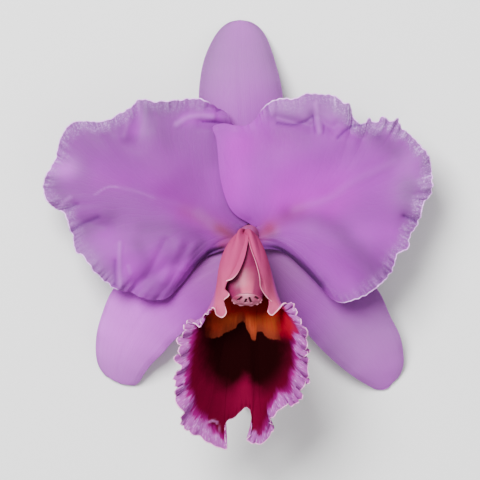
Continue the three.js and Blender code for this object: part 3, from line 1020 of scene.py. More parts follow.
@dataclass(frozen=True)
class LipFinish:
    """The lip: a velvety dark throat under two orange patches, inside a pale frilled margin.

    Places across are x and places down are y, in the bloom's millimetres.
    """

    name: str = "lip_velvet"
    orange: Colour = (0.34, 0.052, 0.017)
    orange_right: Colour = (0.19, 0.027, 0.0085)
    russet: Colour = (0.2, 0.011, 0.009)
    # Painted shade under the column: a darker red at the top of the orange patches and above them.
    column_shade_red: Colour = (0.3, 0.013, 0.012)
    umber: Colour = (0.1, 0.016, 0.009)
    lobe_inside: Colour = (0.2, 0.01, 0.06)
    throat: Colour = (0.0072, 0.0008, 0.0011)
    crimson: Colour = (0.066, 0.0012, 0.01)
    tongue: Colour = (0.13, 0.0022, 0.022)
    scarlet: Colour = (0.22, 0.0012, 0.012)
    magenta: Colour = (0.16, 0.0007, 0.09)
    lavender: Colour = (0.27, 0.052, 0.26)
    frost: Colour = (0.46, 0.17, 0.47)
    rim: Colour = (0.8, 0.36, 0.66)
    pink_rim: Colour = (0.85, 0.33, 0.44)
    pink_behind: Colour = (0.33, 0.035, 0.125)
    pink_front: Colour = (0.37, 0.054, 0.135)
    mauve: Colour = (0.26, 0.04, 0.2)
    # How the bounds wander: the scale, how far and how finely.
    warp: tuple[float, float, float] = (0.35, 3.0, 4.0)
    ragged: tuple[float, float, float] = (0.9, 1.2, 3.0)
    # Crimson: redder at the right of the patches, more magenta towards the margin.
    scarlet_across: Ramp = (6.5, 11.0)
    scarlet_down: Ramp = (-39.0, -32.5)
    magenta_grain: Grain = Grain(0.9, 0.12, 4.0)
    magenta_reach: Ramp = (1.2, 5.0)
    magenta_frill: Ramp = (0.3, 2.4)
    scarlet_over_magenta: float = 0.6
    notch_down: Ramp = (-52.0, -70.0)
    notch_across: float = 2.0
    notch_width: Ramp = (9.0, 2.0)
    # The dark throat: an ellipse, open below where a tongue of crimson rises into it.
    throat_middle: Ramp = (-1.3, -41.0)
    throat_size: Ramp = (18.3, 18.0)
    throat_fade: Ramp = (1.12, 0.34)
    tongue_middle: float = 1.4
    tongue_width: Ramp = (2.4, 7.5)
    tongue_widens: Ramp = (-48.0, -57.0)
    tongue_down: Ramp = (-46.5, -54.0)
    tongue_share: float = 0.7
    # The orange patches: their lower end, and the dark streak between them.
    patch_ends: tuple[Point, ...] = (
        (-16.0, -35.6), (-13.6, -36.4), (-11.4, -36.2), (-8.3, -34.4), (-5.0, -33.0),
        (-2.2, -30.5), (-1.0, -32.9), (0.3, -35.2), (1.5, -37.2), (2.2, -37.3), (2.6, -35.2),
        (3.7, -34.0), (5.8, -35.7), (8.0, -36.7), (10.3, -36.8), (13.0, -38.0),
    )
    patch_fade: Ramp = (-0.3, 0.35)
    patch_left: Ramp = (-12.0, -16.5)
    patch_right: Ramp = (8.5, 12.0)
    orange_turns: Ramp = (-1.0, 5.0)
    streak_middle: float = 1.9
    streak_width: Ramp = (0.9, 0.2)
    streak_down: Ramp = (-31.5, -29.5)
    russet_left: Ramp = (-6.5, -12.0)
    russet_shares: Ramp = (0.75, 0.4)
    russet_grain: Grain = Grain(160.0, 0.12, 3.0)
    russet_streaks: Ramp = (0.42, 0.66)
    # Where the painted shade under the column begins: on the orange patches, and above them.
    column_shade_above: Ramp = (-30.0, -27.0)
    umber_below: Ramp = (4.5, 0.0)
    umber_share: float = 0.85
    column_shade_band: Ramp = (-27.0, -22.0)
    # Both faces: the frill, its teeth and the relief.
    teeth: Grain = Grain(0.55, 0.1, 4.0)
    teeth_reach: Ramp = (0.25, 1.5)
    frill_fade: Ramp = (1.25, 0.72)
    frill_starts: Ramp = (0.1, 0.5)
    fine_grain: Grain = Grain(2.6, 0.5, 3.0)
    fine_streaks: Ramp = (0.5, 0.72)
    rim_starts: Ramp = (0.0, 0.24)
    vein_count: float = 44.0
    vein_wander: float = 0.8
    vein_depth: float = 0.05
    cell_size: float = 0.3
    cell_height: float = 0.1
    back_patches: Mottle = Mottle(6.0, 1.0, 0.2)
    back_turns: Ramp = (-8.0, -24.0)
    bump_strength: float = 0.6
    surface: Surface = Surface(0.7, 0.0, 0.04, (1.0, 0.2, 0.5))

    def inner(self) -> Material:
        """The face that looks into the throat."""
        material, nodes = make_material(self.name)
        place = nodes.place()
        x, y, _ = nodes.parts(place)
        warp = nodes.wander(place, *self.warp)
        x_warped, y_warped = x + warp, y + warp
        edge, frill = nodes.field("edge"), nodes.field("frill")

        scarlet = x_warped.ease(*self.scarlet_across) * y_warped.ease(*self.scarlet_down)
        reach = nodes.scaled(nodes.streaks(nodes.field("flow"), edge, self.magenta_grain),
                             self.magenta_reach)
        notch = y.ease(*self.notch_down) * abs(x + self.notch_across).ease(*self.notch_width)
        magenta = (edge - frill).ease(reach, 0.0) * (1.0 - notch)
        magenta = magenta * frill.ease(*self.magenta_frill) * (
            1.0 - scarlet * self.scarlet_over_magenta)

        across = (x_warped - self.throat_middle[0]) / self.throat_size[0]
        down = ((y_warped - self.throat_middle[1]) / -self.throat_size[1]).at_least(0.0)
        width = nodes.scaled(y.ease(*self.tongue_widens), self.tongue_width)
        tongue = abs(x_warped + self.tongue_middle).ease(width, 0.0)
        tongue = tongue * y_warped.ease(*self.tongue_down)
        dark = (across * across + down * down).ease(*self.throat_fade)
        colour = nodes.layered(
            self.crimson, (scarlet, self.scarlet), (magenta, self.magenta),
            (tongue * self.tongue_share, self.tongue),
            (dark * (1.0 - tongue) * (1.0 - scarlet), self.throat),
        )

        above = y - nodes.through(x, self.patch_ends) + nodes.wander(place, *self.ragged)
        sides = x_warped.ease(*self.patch_left).at_least(x_warped.ease(*self.patch_right))
        streak = abs(x + self.streak_middle).ease(*self.streak_width) * y.ease(*self.streak_down)
        grain = nodes.streaks(nodes.field("across"), y, self.russet_grain)
        russet = (x_warped.ease(*self.russet_left) * self.russet_shares[0]).at_least(
            grain.ease(*self.russet_streaks) * self.russet_shares[1])
        orange = nodes.layered(
            self.orange, (x.ease(*self.orange_turns), self.orange_right),
            (russet.at_least(streak), self.russet), (y_warped.ease(*self.column_shade_above), self.column_shade_red),
            (above.ease(*self.umber_below) * self.umber_share, self.umber),
        )
        colour = nodes.layered(
            colour, (above.ease(*self.patch_fade) * (1.0 - sides), orange),
            (y.ease(*self.column_shade_band), self.column_shade_red), (nodes.field("lobe"), self.lobe_inside),
        )
        self.finish(nodes, colour, place)
        return material

    def outer(self) -> Material:
        """The face that looks out of the tube, pink on the side lobes."""
        material, nodes = make_material(self.name + "_back")
        place = nodes.place()
        _, y, _ = nodes.parts(place)
        pink = nodes.blend(y.ease(*self.back_turns), self.pink_behind, self.pink_front)
        colour = nodes.blend(nodes.field("lobe"), self.mauve, pink)
        self.finish(nodes, nodes.patched(colour, place, self.back_patches), place)
        return material

    def finish(self, nodes: Nodes, colour: Wire, place: Wire) -> None:
        """Adds the pale frill, rim, veins and creases' painted shade and highlight of both faces.

        Args:
            nodes: the builder of the material's nodes.
            colour: the face's own colour.
            place: the place in the bloom.
        """
        edge, flow, frill, rim, tone = map(nodes.field, ("edge", "flow", "frill", "rim", "tone"))
        reach = nodes.scaled(nodes.streaks(flow, edge, self.teeth), self.teeth_reach) * frill
        pale = (edge / reach.at_least(THINNEST)).ease(*self.frill_fade)
        fine = nodes.streaks(flow, edge, self.fine_grain).ease(*self.fine_streaks)
        line, = nodes.effect(Effect.RIM, Edge=nodes.field("near"), Flow=flow, Width=rim)
        # The creases bring painted shade in their hollows and painted highlight on their edges.
        colour = nodes.layered(
            colour, (pale * frill.ease(*self.frill_starts),
                     nodes.blend(fine, self.lavender, self.frost)),
            (line * rim.ease(*self.rim_starts),
             nodes.blend(nodes.field("lobe"), self.rim, self.pink_rim)),
            (tone * -1.0, self.magenta), (tone, self.frost),
        )
        veins, = nodes.effect(Effect.VEINS, place, Across=nodes.field("across"),
                              Count=self.vein_count, Wander=self.vein_wander)
        _, cells = nodes.effect(Effect.CRYSTALS, place, Size=self.cell_size)
        height = cells * self.cell_height - veins * self.vein_depth
        shade(nodes, self.surface, colour, nodes.bump(height, self.bump_strength))


@dataclass(frozen=True)
class FleshFinish:
    """Waxy flesh over small swollen cells; each kind has its own colours."""

    name: str
    patches: Mottle
    cell_size: float
    cell_height: float
    surface: Surface
    bump_strength: float = 0.6

    def material(self) -> Material:
        """The finish as a material."""
        material, nodes = make_material(self.name)
        place = nodes.place()
        _, cells = nodes.effect(Effect.CRYSTALS, place, Size=self.cell_size)
        height = self.grooved(nodes, place, cells * self.cell_height)
        normal = nodes.bump(height, self.bump_strength)
        shade(nodes, self.surface, self.coloured(nodes, place), normal)
        return material

    def coloured(self, nodes: Nodes, place: Wire) -> Wire:
        """The colour at each place."""
        raise NotImplementedError

    def grooved(self, nodes: Nodes, place: Wire, height: Wire) -> Wire:
        """The height with the kind's own grooves in it; most have none."""
        return height


@dataclass(frozen=True)
class ColumnFinish(FleshFinish):
    """The column: waxy pink with a pale keel, crimson along its sides and at its foot.

    The keel's paleness is partly a painted highlight, the sides' crimson partly painted shade.
    """

    name: str = "column_wax"
    patches: Mottle = Mottle(2.5, 1.0, 0.24)
    cell_size: float = 0.35
    cell_height: float = 0.08
    surface: Surface = Surface(0.4, 0.15, 0.15, (1.2, 0.4, 0.6))
    pink: Colour = (0.18, 0.021, 0.07)
    ridge: Colour = (0.47, 0.075, 0.16)
    crimson: Colour = (0.165, 0.011, 0.06)
    claw: Colour = (0.29, 0.05, 0.17)
    rim: Colour = (0.52, 0.16, 0.24)
    foot_fade: Ramp = (29.0, 19.0)
    # The crimson along the sides: the column's own colour, darkened there as painted shade.
    shaded_flank_fade: Ramp = (0.97, 0.6)
    end_starts: Ramp = (31.5, 33.0)
    # The pale keel: its own paler tissue, brightened as a painted highlight.
    ridge_across: Ramp = (0.93, 1.0)
    ridge_along: Ramp = (21.0, 33.0)
    claw_fade: Ramp = (2.4, 1.2)

    def coloured(self, nodes: Nodes, place: Wire) -> Wire:
        """The colour at each place.

        Args:
            nodes: the builder of the material's nodes.
            place: the place in the bloom.

        Returns:
            The colour.
        """
        along, keel = nodes.field("along"), nodes.field("keel")
        shaded_flank = keel.ease(*self.shaded_flank_fade) * (1.0 - along.ease(*self.end_starts))
        colour = nodes.layered(
            self.pink, (shaded_flank.at_least(along.ease(*self.foot_fade)), self.crimson),
            (keel.ease(*self.ridge_across) * along.ease(*self.ridge_along), self.ridge),
            (along.ease(*self.claw_fade), self.claw), (nodes.field("lip"), self.rim),
        )
        return nodes.patched(colour, place, self.patches)


@dataclass(frozen=True)
class CapFinish(FleshFinish):
    """The anther cap: waxy, nearly white pink, with painted shade in its slots."""

    name: str = "anther_cap_wax"
    patches: Mottle = Mottle(1.2, 1.2, 0.3)
    cell_size: float = 0.25
    cell_height: float = 0.1
    surface: Surface = Surface(0.38, 0.2, 0.15, (1.0, 0.5, 0.6))
    pink: Colour = (0.22, 0.017, 0.07)
    pale: Colour = (0.52, 0.16, 0.25)
    # Near black: painted shade in the slots.
    slot: Colour = (0.02, 0.001, 0.004)

    def coloured(self, nodes: Nodes, place: Wire) -> Wire:
        """The colour at each place."""
        colour = nodes.blend(nodes.field("ridge"), self.pink, self.pale)
        colour = nodes.patched(colour, place, self.patches)
        # Painted shade in the slots.
        return nodes.blend(nodes.field("slot"), colour, self.slot)


@dataclass(frozen=True)
class PolliniaFinish(FleshFinish):
    """The pollinia: smooth yellow wax."""

    name: str = "pollinia_wax"
    patches: Mottle = Mottle(0.8, 1.0)
    cell_size: float = 0.15
    cell_height: float = 0.1
    surface: Surface = Surface(0.3, 0.4, 0.1, (0.8, 0.6, 0.2))
    bump_strength: float = 0.5
    yellow: Colour = (0.72, 0.5, 0.1)
    pale: Colour = (0.82, 0.64, 0.2)

    def coloured(self, nodes: Nodes, place: Wire) -> Wire:
        """The colour at each place."""
        return nodes.blend(nodes.patches(place, self.patches), self.yellow, self.pale)


@dataclass(frozen=True)
class StalkFinish(FleshFinish):
    """The ovary and stalk: green, flushed with mauve towards the flower."""

    name: str = "stalk_skin"
    patches: Mottle = Mottle(5.0, 1.5)
    cell_size: float = 0.3
    cell_height: float = 0.06
    surface: Surface = Surface(0.45, 0.35, 0.05, (0.6, 0.9, 0.3), coat=0.04)
    green: Colour = (0.2, 0.3, 0.08)
    pale_green: Colour = (0.38, 0.46, 0.19)
    mauve: Colour = (0.26, 0.1, 0.2)
    flushed: Ramp = (34.0, 4.0)
    groove_share: float = 0.5
    fibre_count: float = 30.0
    fibre_wander: float = 1.0
    fibre_depth: float = 0.05

    def coloured(self, nodes: Nodes, place: Wire) -> Wire:
        """The colour at each place.

        Args:
            nodes: the builder of the material's nodes.
            place: the place in the bloom.

        Returns:
            The colour.
        """
        return nodes.layered(
            self.green, (nodes.patches(place, self.patches), self.pale_green),
            (nodes.field("along").ease(*self.flushed), self.mauve),
            (nodes.field("groove") * self.groove_share, self.green),
        )

    def grooved(self, nodes: Nodes, place: Wire, height: Wire) -> Wire:
        """The height with fibres along the stalk in it."""
        fibres, = nodes.effect(Effect.VEINS, place, Across=nodes.field("turn"),
                               Count=self.fibre_count, Wander=self.fibre_wander)
        return height - fibres * self.fibre_depth


@dataclass(frozen=True)
class CutFinish(FleshFinish):
    """The cut end: pale wet fibres in green flesh."""

    name: str = "cut_fibre"
    patches: Mottle = Mottle(0.3, 1.4)
    cell_size: float = 0.12
    cell_height: float = 0.2
    surface: Surface = Surface(0.35, 0.4, 0.1, (0.8, 0.8, 0.4))
    straw: Colour = (0.72, 0.66, 0.4)
    green: Colour = (0.45, 0.5, 0.22)

    def coloured(self, nodes: Nodes, place: Wire) -> Wire:
        """The colour at each place."""
        return nodes.blend(nodes.patches(place, self.patches), self.straw, self.green)


# ------ sepals


@dataclass
class Sepal:
    """A sepal: a strip across its rungs, crowned in the middle, its tip bent back.

    Each rung is one edge's x and y, the other edge's x and y, and the height of the middle.
    """

    name: str
    node: str
    crown: float
    rungs: tuple[Point, ...]
    paleness: float
    # Painted shade towards both edges and along the sepal; below 0 it is painted light.
    painted_edge_shade: float
    painted_shade: tuple[Point, ...]
    seed: int
    thickness: float = 1.1
    edge_thickness: float = 0.4
    edge_width: float = 2.6
    crown_middle: float = 0.3
    columns: int = 90
    rows: int = 210
    groove: float = 0.1
    groove_width: float = 0.9
    grooved: Band = Band(0.02, 0.2, 0.85, 1.0)
    ripple: float = 0.25
    ripples: float = 7.0
    ripple_fade: float = 3.0
    rippled: Band = Band(0.1, 0.3, 0.9, 1.0)
    length: float = 60.0
    flush: float = 0.8
    flush_ends: Ramp = (0.35, 0.8)
    pale_from: Ramp = (0.3, 0.75)
    claw_ends: Ramp = (0.12, 0.5)
    frost: float = 0.3
    frost_from: Ramp = (0.3, 0.6)
    painted_edge_shade_sharpness: float = 2.6

    def sheet(self) -> Sheet:
        """The sepal's blade."""
        first = spaced([(x, y, z) for x, y, _, _, z in self.rungs], self.rows)
        second = spaced([(x, y, z) for _, _, x, y, z in self.rungs], self.rows)
        across = np.linspace(-1, 1, self.columns + 1)[None, :]
        along = np.linspace(0, 1, self.rows + 1)[:, None]
        middle = mix(first[:, None, :], second[:, None, :], (across[..., None] + 1) / 2)
        width = np.linalg.norm((second - first)[:, :2], axis=1)[:, None]
        edge = np.minimum((1 - np.abs(across)) * width / 2, (1 - along) * self.length)
        ripple = np.where(across < 0, waver(along, self.ripples, self.seed),
                          waver(along, self.ripples, self.seed + 1))
        level = middle[..., 2]
        level += self.crown * width * (self.crown_middle - across ** 2)
        level -= (self.groove * bell(across * width / 2, self.groove_width)
                  * within(along, self.grooved))
        level += (self.ripple * ripple * np.exp(-edge / self.ripple_fade)
                  * within(along, self.rippled))
        np.maximum(level, self.thickness / 2 - BLOOM_HEIGHT, out=level)
        frost = self.frost * smooth(along, *self.frost_from)
        fields = {
            "edge": edge,
            "flow": along * run_along(first)[-1],
            "across": across / 2,
            "flush": self.flush * (1 - smooth(along, *self.flush_ends)),
            "fade": self.paleness * smooth(along, *self.pale_from),
            "claw": 1 - smooth(along, *self.claw_ends),
            # Painted shade and painted light, along the sepal and towards its edges.
            "shade": follow(along, self.painted_shade)
            + self.painted_edge_shade * np.abs(across) ** self.painted_edge_shade_sharpness,
            "rimmed": frost,
            "frost": frost,
        }
        thin = smooth(edge, 0, self.edge_width)
        return Sheet(middle, mix(self.edge_thickness, self.thickness, thin), fields)

    def build(self, finish: Material) -> None:
        """Builds the sepal as a piece that replaces its solid."""
        keep(self.sheet().build(self.name, finish, finish), Slot.SEPAL, self.node)


# ------ petals


@dataclass
class Petal:
    """A petal: veins fan out from an arc round the column to the waved margin."""

    name: str
    node: str
    base_from: float
    base_to: float
    axis: float
    base_level: float
    rise: float
    rise_reach: float
    droop: float
    rolled: float
    margin: tuple[Point, ...]
    folds: tuple[Fold, ...]
    # Narrow creases: relief, with painted shade along the dark ones and painted highlight along the
    # pale ones.
    creases: tuple[Crease, ...]
    flushes: tuple[Fold, ...]
    fades: tuple[Fold, ...]
    # Soft lines of painted shade (tone below 0) and painted light (tone above 0).
    painted_shades: tuple[Crease, ...]
    claws: tuple[Fold, ...]
    rimmed: Band
    frosting: tuple[Point, ...]
    # Painted shade over the whole blade.
    painted_shade: float
    seed: int
    thickness: float = 0.9
    edge_thickness: float = 0.3
    edge_width: float = 2.4
    base_radius: float = 3.8
    vein_lead: float = 0.7
    reach: float = 70.0
    waves: float = 17.0
    wave_height: float = 1.5
    ruffled: Band = Band(0.16, 0.3, 0.78, 0.9)
    dense: Band = Band(0.16, 0.3, 0.84, 0.9)
    roll_band: Band = Band(0.84, 0.9, 0.95, 1.0)
    flatter_from: float = 0.75
    flatter_by: float = 0.45
    ruffle_sharpness: float = 13.0
    ruffle_crowding: float = 1.6
    crowding_rate: float = 31.0
    roll_starts: float = 0.6
    folded: Ramp = (2.0, 14.0)
    columns: int = 590
    rows: int = 80
    sparse: float = 0.42
    row_crowding: float = 1.5
    crinkle: float = 0.45
    crinkles: float = 48.0
    crinkle_fade: float = 3.0
    scallop: float = 0.16
    scallops: float = 62.0
    flute: float = 0.256
    flutes: float = 105.0
    flute_groups: float = 9.0
    flute_fade: float = 2.2
    pale_edge: Ramp = (-0.15, 0.4)
    pale_edge_fade: float = 4.0
    # The limits of the painted shade and, below 0, of the painted light.
    shade_limits: Ramp = (-0.75, 1.35)

    def shares(self) -> Array:
        """The columns' places along the margin, crowded where it is free and waved."""
        even = np.linspace(0, 1, 1001)
        density = mix(self.sparse, 1, within(even, self.dense))
        run = np.append(0, np.cumsum((density[1:] + density[:-1]) / 2))
        return np.interp(np.linspace(0, run[-1], self.columns + 1), run, even)

    def rim(self) -> Array:
        """The margin's points, with the small scallops between its larger waves."""
        s = self.shares()
        line = at_shares(self.margin, s)
        out = -sideways(np.gradient(line, axis=0))
        depth = self.scallop * within(s, self.ruffled) * waver(s, self.scallops, self.seed, 7)
        return line + out * depth[:, None]

    def plan(self) -> Array:
        """Where each place of the blade lies, seen from above: rows of [x, y]."""
        rim = self.rim()
        turn = np.radians(mix(self.base_from, self.base_to, self.shares()))
        base = np.array(HUB) + self.base_radius * on_circle(turn)
        axis = on_circle(math.radians(self.axis))
        lead = self.vein_lead * np.maximum(0, (rim - base) @ axis)
        control = base + lead[:, None] * axis
        r = crowded(self.rows, self.row_crowding)[:, None, None]
        return (1 - r) ** 2 * base + 2 * r * (1 - r) * control + r ** 2 * rim

    def height(self, x: Array, y: Array, s: Array, r: Array) -> Array:
        """The height of the blade's middle, as its solid has it.

        Args:
            x: each place's x.
            y: its y.
            s: its share along the margin.
            r: its share of the way out to the margin.

        Returns:
            The height at each place.
        """
        out = np.hypot(x - HUB[0], y - HUB[1]) - self.base_radius
        low = 1 - self.flatter_by * smooth(s, self.flatter_from, 1)
        arch = low * self.rise * (1 - np.exp(-out / self.rise_reach))
        arch = arch - self.droop * (out / self.reach) ** 2
        crowding = self.ruffle_crowding * np.sin(self.crowding_rate * s)
        wave = np.sin(2 * math.pi * self.waves * s + crowding)
        ruffle = self.wave_height * within(s, self.ruffled) * r ** self.ruffle_sharpness * wave
        roll = self.rolled * within(s, self.roll_band) * smooth(r, self.roll_starts, 1) ** 2
        folds = relief(self.folds, x, y) * smooth(out, *self.folded)
        return self.base_level + arch + ruffle + folds - roll

    def sheet(self) -> Sheet:
        """The petal's blade."""
        plan = self.plan()
        x, y = plan[..., 0], plan[..., 1]
        s = self.shares()[None, :]
        r = crowded(self.rows, self.row_crowding)[:, None]
        edge = distance_to_points(plan, plan[-1])
        crinkle = waver(s, self.crinkles, self.seed + 1, 6) * bell(edge, self.crinkle_fade)
        flute = waver(s, self.flutes, self.seed + 2, 7) * waver(s, self.flute_groups, self.seed + 3)
        small = self.crinkle * crinkle + self.flute * flute * bell(edge, self.flute_fade)
        crease_height, tone = creased(self.creases, x, y)
        z = self.height(x, y, s, r) + small * within(s, self.ruffled) + crease_height
        rimmed = within(s, self.rimmed)
        lowest, gain = self.pale_edge
        pale_edge = (gain * rimmed + lowest) * np.exp(-edge / self.pale_edge_fade)
        fields = {
            "edge": edge,
            "flow": run_along(plan[-1])[None, :],
            "across": s,
            "flush": np.clip(relief(self.flushes, x, y), 0, 1),
            "fade": np.clip(relief(self.fades, x, y) + pale_edge, 0, 1),
            "claw": np.clip(relief(self.claws, x, y), 0, 1),
            # Painted shade and painted light.
            "shade": np.clip(self.painted_shade - creased(self.painted_shades, x, y)[1], *self.shade_limits),
            "rimmed": rimmed,
            "frost": follow(s, self.frosting),
            # Painted shade and painted highlight along the creases.
            "tone": tone,
        }
        thickness = mix(self.edge_thickness, self.thickness, smooth(edge, 0, self.edge_width))
        return Sheet(np.stack([x, y, z], -1), thickness, fields)

    def build(self, finish: Material) -> None:
        """Builds the petal as a piece that replaces its solid."""
        keep(self.sheet().build(self.name, finish, finish), Slot.PETAL, self.node)


# ------ the tube round the column


TUBE_START = np.array([0.0, 0.0, 3.2])
TILT = math.radians(44)
TUBE_DIRECTION = np.array([0.0, -math.cos(TILT), math.sin(TILT)])
TUBE_UP = np.array([0.0, math.sin(TILT), math.cos(TILT)])
TUBE_SHIFTS = (-1.0, -0.8)
TUBE_SHIFTED_AT = 8.0
COLUMN_RISE = 1.2  # how far the column's end stands above the tube's middle


def tube_middle(distance: Array) -> Array:
    """The middle of the lip's tube at a distance along it."""
    distance = np.asarray(distance, float)
    middle = TUBE_START + distance[..., None] * TUBE_DIRECTION
    middle[..., 0] += mix(*TUBE_SHIFTS, smooth(distance, 0, TUBE_SHIFTED_AT))
    return middle


def on_tube(angle: Array, distance: Array, radius: Array) -> Array:
    """Points on rings round the tube.

    Args:
        angle: the angle round it in degrees; 0 is its floor.
        distance: the distance along it.
        radius: the ring's radius.

    Returns:
        One point for each angle.
    """
    turn = np.radians(angle)
    point = tube_middle(distance)
    point = point - (np.asarray(radius) * np.cos(turn))[..., None] * TUBE_UP
    point[..., 0] += radius * np.sin(turn)
    return point


# ------ lip


class Stretch(NamedTuple):
    """A stretch of the lip's margin.

    The veins of a stretch start from the tube's base between two angles: 0 is the floor of the
    tube, under the column, and 180 is the seam over it.
    """

    angles: Ramp
    crinkle: float
    lobe: float
    points: tuple[Point, ...]


@dataclass
class Lip:
    """The lip: a tube round the column that opens along its top and flares into a frilled lobe.

    Places along the margin are counted in stations, the points of its stretches.
    """

    name: str
    node: str
    margin: tuple[Stretch, ...]
    frill_widths: tuple[Point, ...]
    rim_widths: tuple[Point, ...]
    ruffle_strengths: tuple[Point, ...]
    creases: tuple[Crease, ...]
    spread: tuple[Point, ...]
    thickness: float = 0.7
    edge_thickness: float = 0.28
    edge_width: float = 2.0
    per_station: int = 6
    rows: int = 94
    row_crowding: float = 1.9
    # The tube.
    base_radius: float = 3.0
    radius: float = 11.3
    length: float = 30.0
    wide_at: float = 14.0
    belly: float = 0.4
    pinch: float = 0.21
    pinched_at: float = 95.0
    pinched_over: float = 32.0
    lean: float = 1.4
    lean_angles: Ramp = (60.0, 110.0)
    lean_along: Ramp = (0.0, 5.0)
    # The way from its mouth out to the margin.
    held: float = 0.2
    held_at: float = 100.0
    held_over: float = 26.0
    shoulder_share: float = 0.5
    shoulder_reach: float = 31.0
    squared: float = 0.6
    square_reach: float = 11.0
    square_gap: Ramp = (12.0, 24.0)
    lift: float = 4.0
    flared: Ramp = (6.0, 24.0)
    # The frill.
    frill_reach: int = 18
    notch: Band = Band(35, 37, 44, 46)
    notch_reach: int = 3
    course_reach: int = 24
    crinkle_reach: int = 9
    lobe_reach: int = 6
    frill_start: float = 0.84
    frill_sharpness: float = 1.5
    frill_depth: float = 1.7
    crinkle: float = 0.5
    crinkle_length: float = 2.3
    crinkle_uneven: tuple[float, float, int] = (2.2, 30, 5)
    crinkle_fade: float = 2.6
    ruffle: float = 1.15
    ruffle_swing: float = -0.45
    ruffle_out: float = 0.75
    ruffle_length: float = 3.9
    ruffle_uneven: tuple[float, float, int] = (2.6, 16, 8)
    ruffle_fade: float = 2.8
    face_from: Ramp = (12.0, 20.0)

    def softened(self, points: Array, reach: int) -> Array:
        """Each row of values averaged with its neighbours.

        Args:
            points: the rows.
            reach: how many neighbours on each side count; fewer do near the ends.

        Returns:
            As many rows.
        """
        count = len(points)
        total = np.vstack([np.zeros(points.shape[1]), np.cumsum(points, axis=0)])
        index = np.arange(count)
        span = np.minimum(np.minimum(reach, index), count - 1 - index)
        return (total[index + span + 1] - total[index - span]) / (2 * span + 1)[:, None]

    def by_stretch(self, steps: Array, values: Sequence[float], reach: int) -> Array:
        """A value that each stretch has, softened where they meet.

        Args:
            steps: where it is wanted, counted in stations.
            values: one for each stretch.
            reach: how far it is softened.

        Returns:
            One value for each place.
        """
        counts = [len(stretch.points) for stretch in self.margin]
        order = np.arange(sum(counts), dtype=float)
        plain = np.interp(steps, order, np.repeat(np.array(values, float), counts))
        return self.softened(plain[:, None], reach)[:, 0]

    def phase(self, run: Array, length: float, uneven: tuple[float, float, int]) -> Array:
        """The angle of a wave along the margin whose length changes a little.

        Args:
            run: the distance along the margin.
            length: the wave's mean length.
            uneven: how far it changes, how often, and the seed of the change.

        Returns:
            One angle for each place.
        """
        reach, rate, seed = uneven
        return 2 * math.pi * run / length + reach * waver(run / run[-1], rate, seed)

    def controls(self, rim: Array, mean: Array, angle: Array, steps: Array) -> Array:
        """The five points that steer each vein, from its foot in the tube to the margin.

        Args:
            rim: the margin's points.
            mean: the margin without its frill.
            angle: each vein's angle in the tube.
            steps: its place along the margin, in stations.

        Returns:
            Five rows of points.
        """
        leave = np.minimum((rim - TUBE_START) @ TUBE_DIRECTION, self.length)
        widening = smooth(leave, 0, self.wide_at)
        foot = on_tube(angle, np.zeros_like(leave), self.base_radius)
        belly = on_tube(angle, self.belly * leave, mix(self.base_radius, self.radius, widening))
        steep = np.abs(angle)
        narrowed = 1 - self.pinch * bell(steep - self.pinched_at, self.pinched_over)
        mouth = on_tube(angle, leave, mix(self.base_radius, self.radius * narrowed, widening))
        leaning = self.lean * smooth(steep, *self.lean_angles) * smooth(leave, *self.lean_along)
        belly[:, 0] -= leaning
        mouth[:, 0] -= leaning

        gap = np.linalg.norm(mouth - mean, axis=1)
        held = self.held * bell(steep - self.held_at, self.held_over)
        near_mouth = np.minimum(1, self.shoulder_reach / np.maximum(gap, 1))
        share = (self.shoulder_share - held) * near_mouth
        shoulder = mix(mouth, mean, share[:, None])
        out = sideways(np.gradient(self.softened(rim, self.course_reach), axis=0))
        squared = self.squared * smooth(gap, *self.square_gap) * (1 - within(steps, self.notch))
        square = mean[:, :2] - self.square_reach * out
        shoulder[:, :2] = mix(shoulder[:, :2], square, squared[:, None])
        shoulder[:, 0] += follow(steps, self.spread)
        shoulder[:, 2] += self.lift * smooth(gap, *self.flared)
        return np.stack([foot, belly, mouth, self.softened(shoulder, self.per_station), mean])

    def sheet(self) -> Sheet:
        """The lip's blade."""
        points = np.array([point for stretch in self.margin for point in stretch.points])
        angles = np.concatenate([
            np.linspace(*stretch.angles, len(stretch.points)) for stretch in self.margin])
        rim = spline(points, self.per_station)
        order = np.arange(len(angles), dtype=float)
        angle = spline(np.stack([angles, order], -1), self.per_station)[:, 0]
        steps = np.linspace(0, len(points) - 1, len(rim))
        mean = mix(self.softened(rim, self.frill_reach), self.softened(rim, self.notch_reach),
                   within(steps, self.notch)[:, None])

        r = crowded(self.rows, self.row_crowding)
        shares = np.stack([math.comb(4, k) * r ** k * (1 - r) ** (4 - k) for k in range(5)], -1)
        middle = np.einsum("ik,kjd->ijd", shares, self.controls(rim, mean, angle, steps))
        frilled = smooth(r, self.frill_start, 1) ** self.frill_sharpness
        middle += frilled[:, None, None] * (rim - mean) * np.array([1, 1, self.frill_depth])

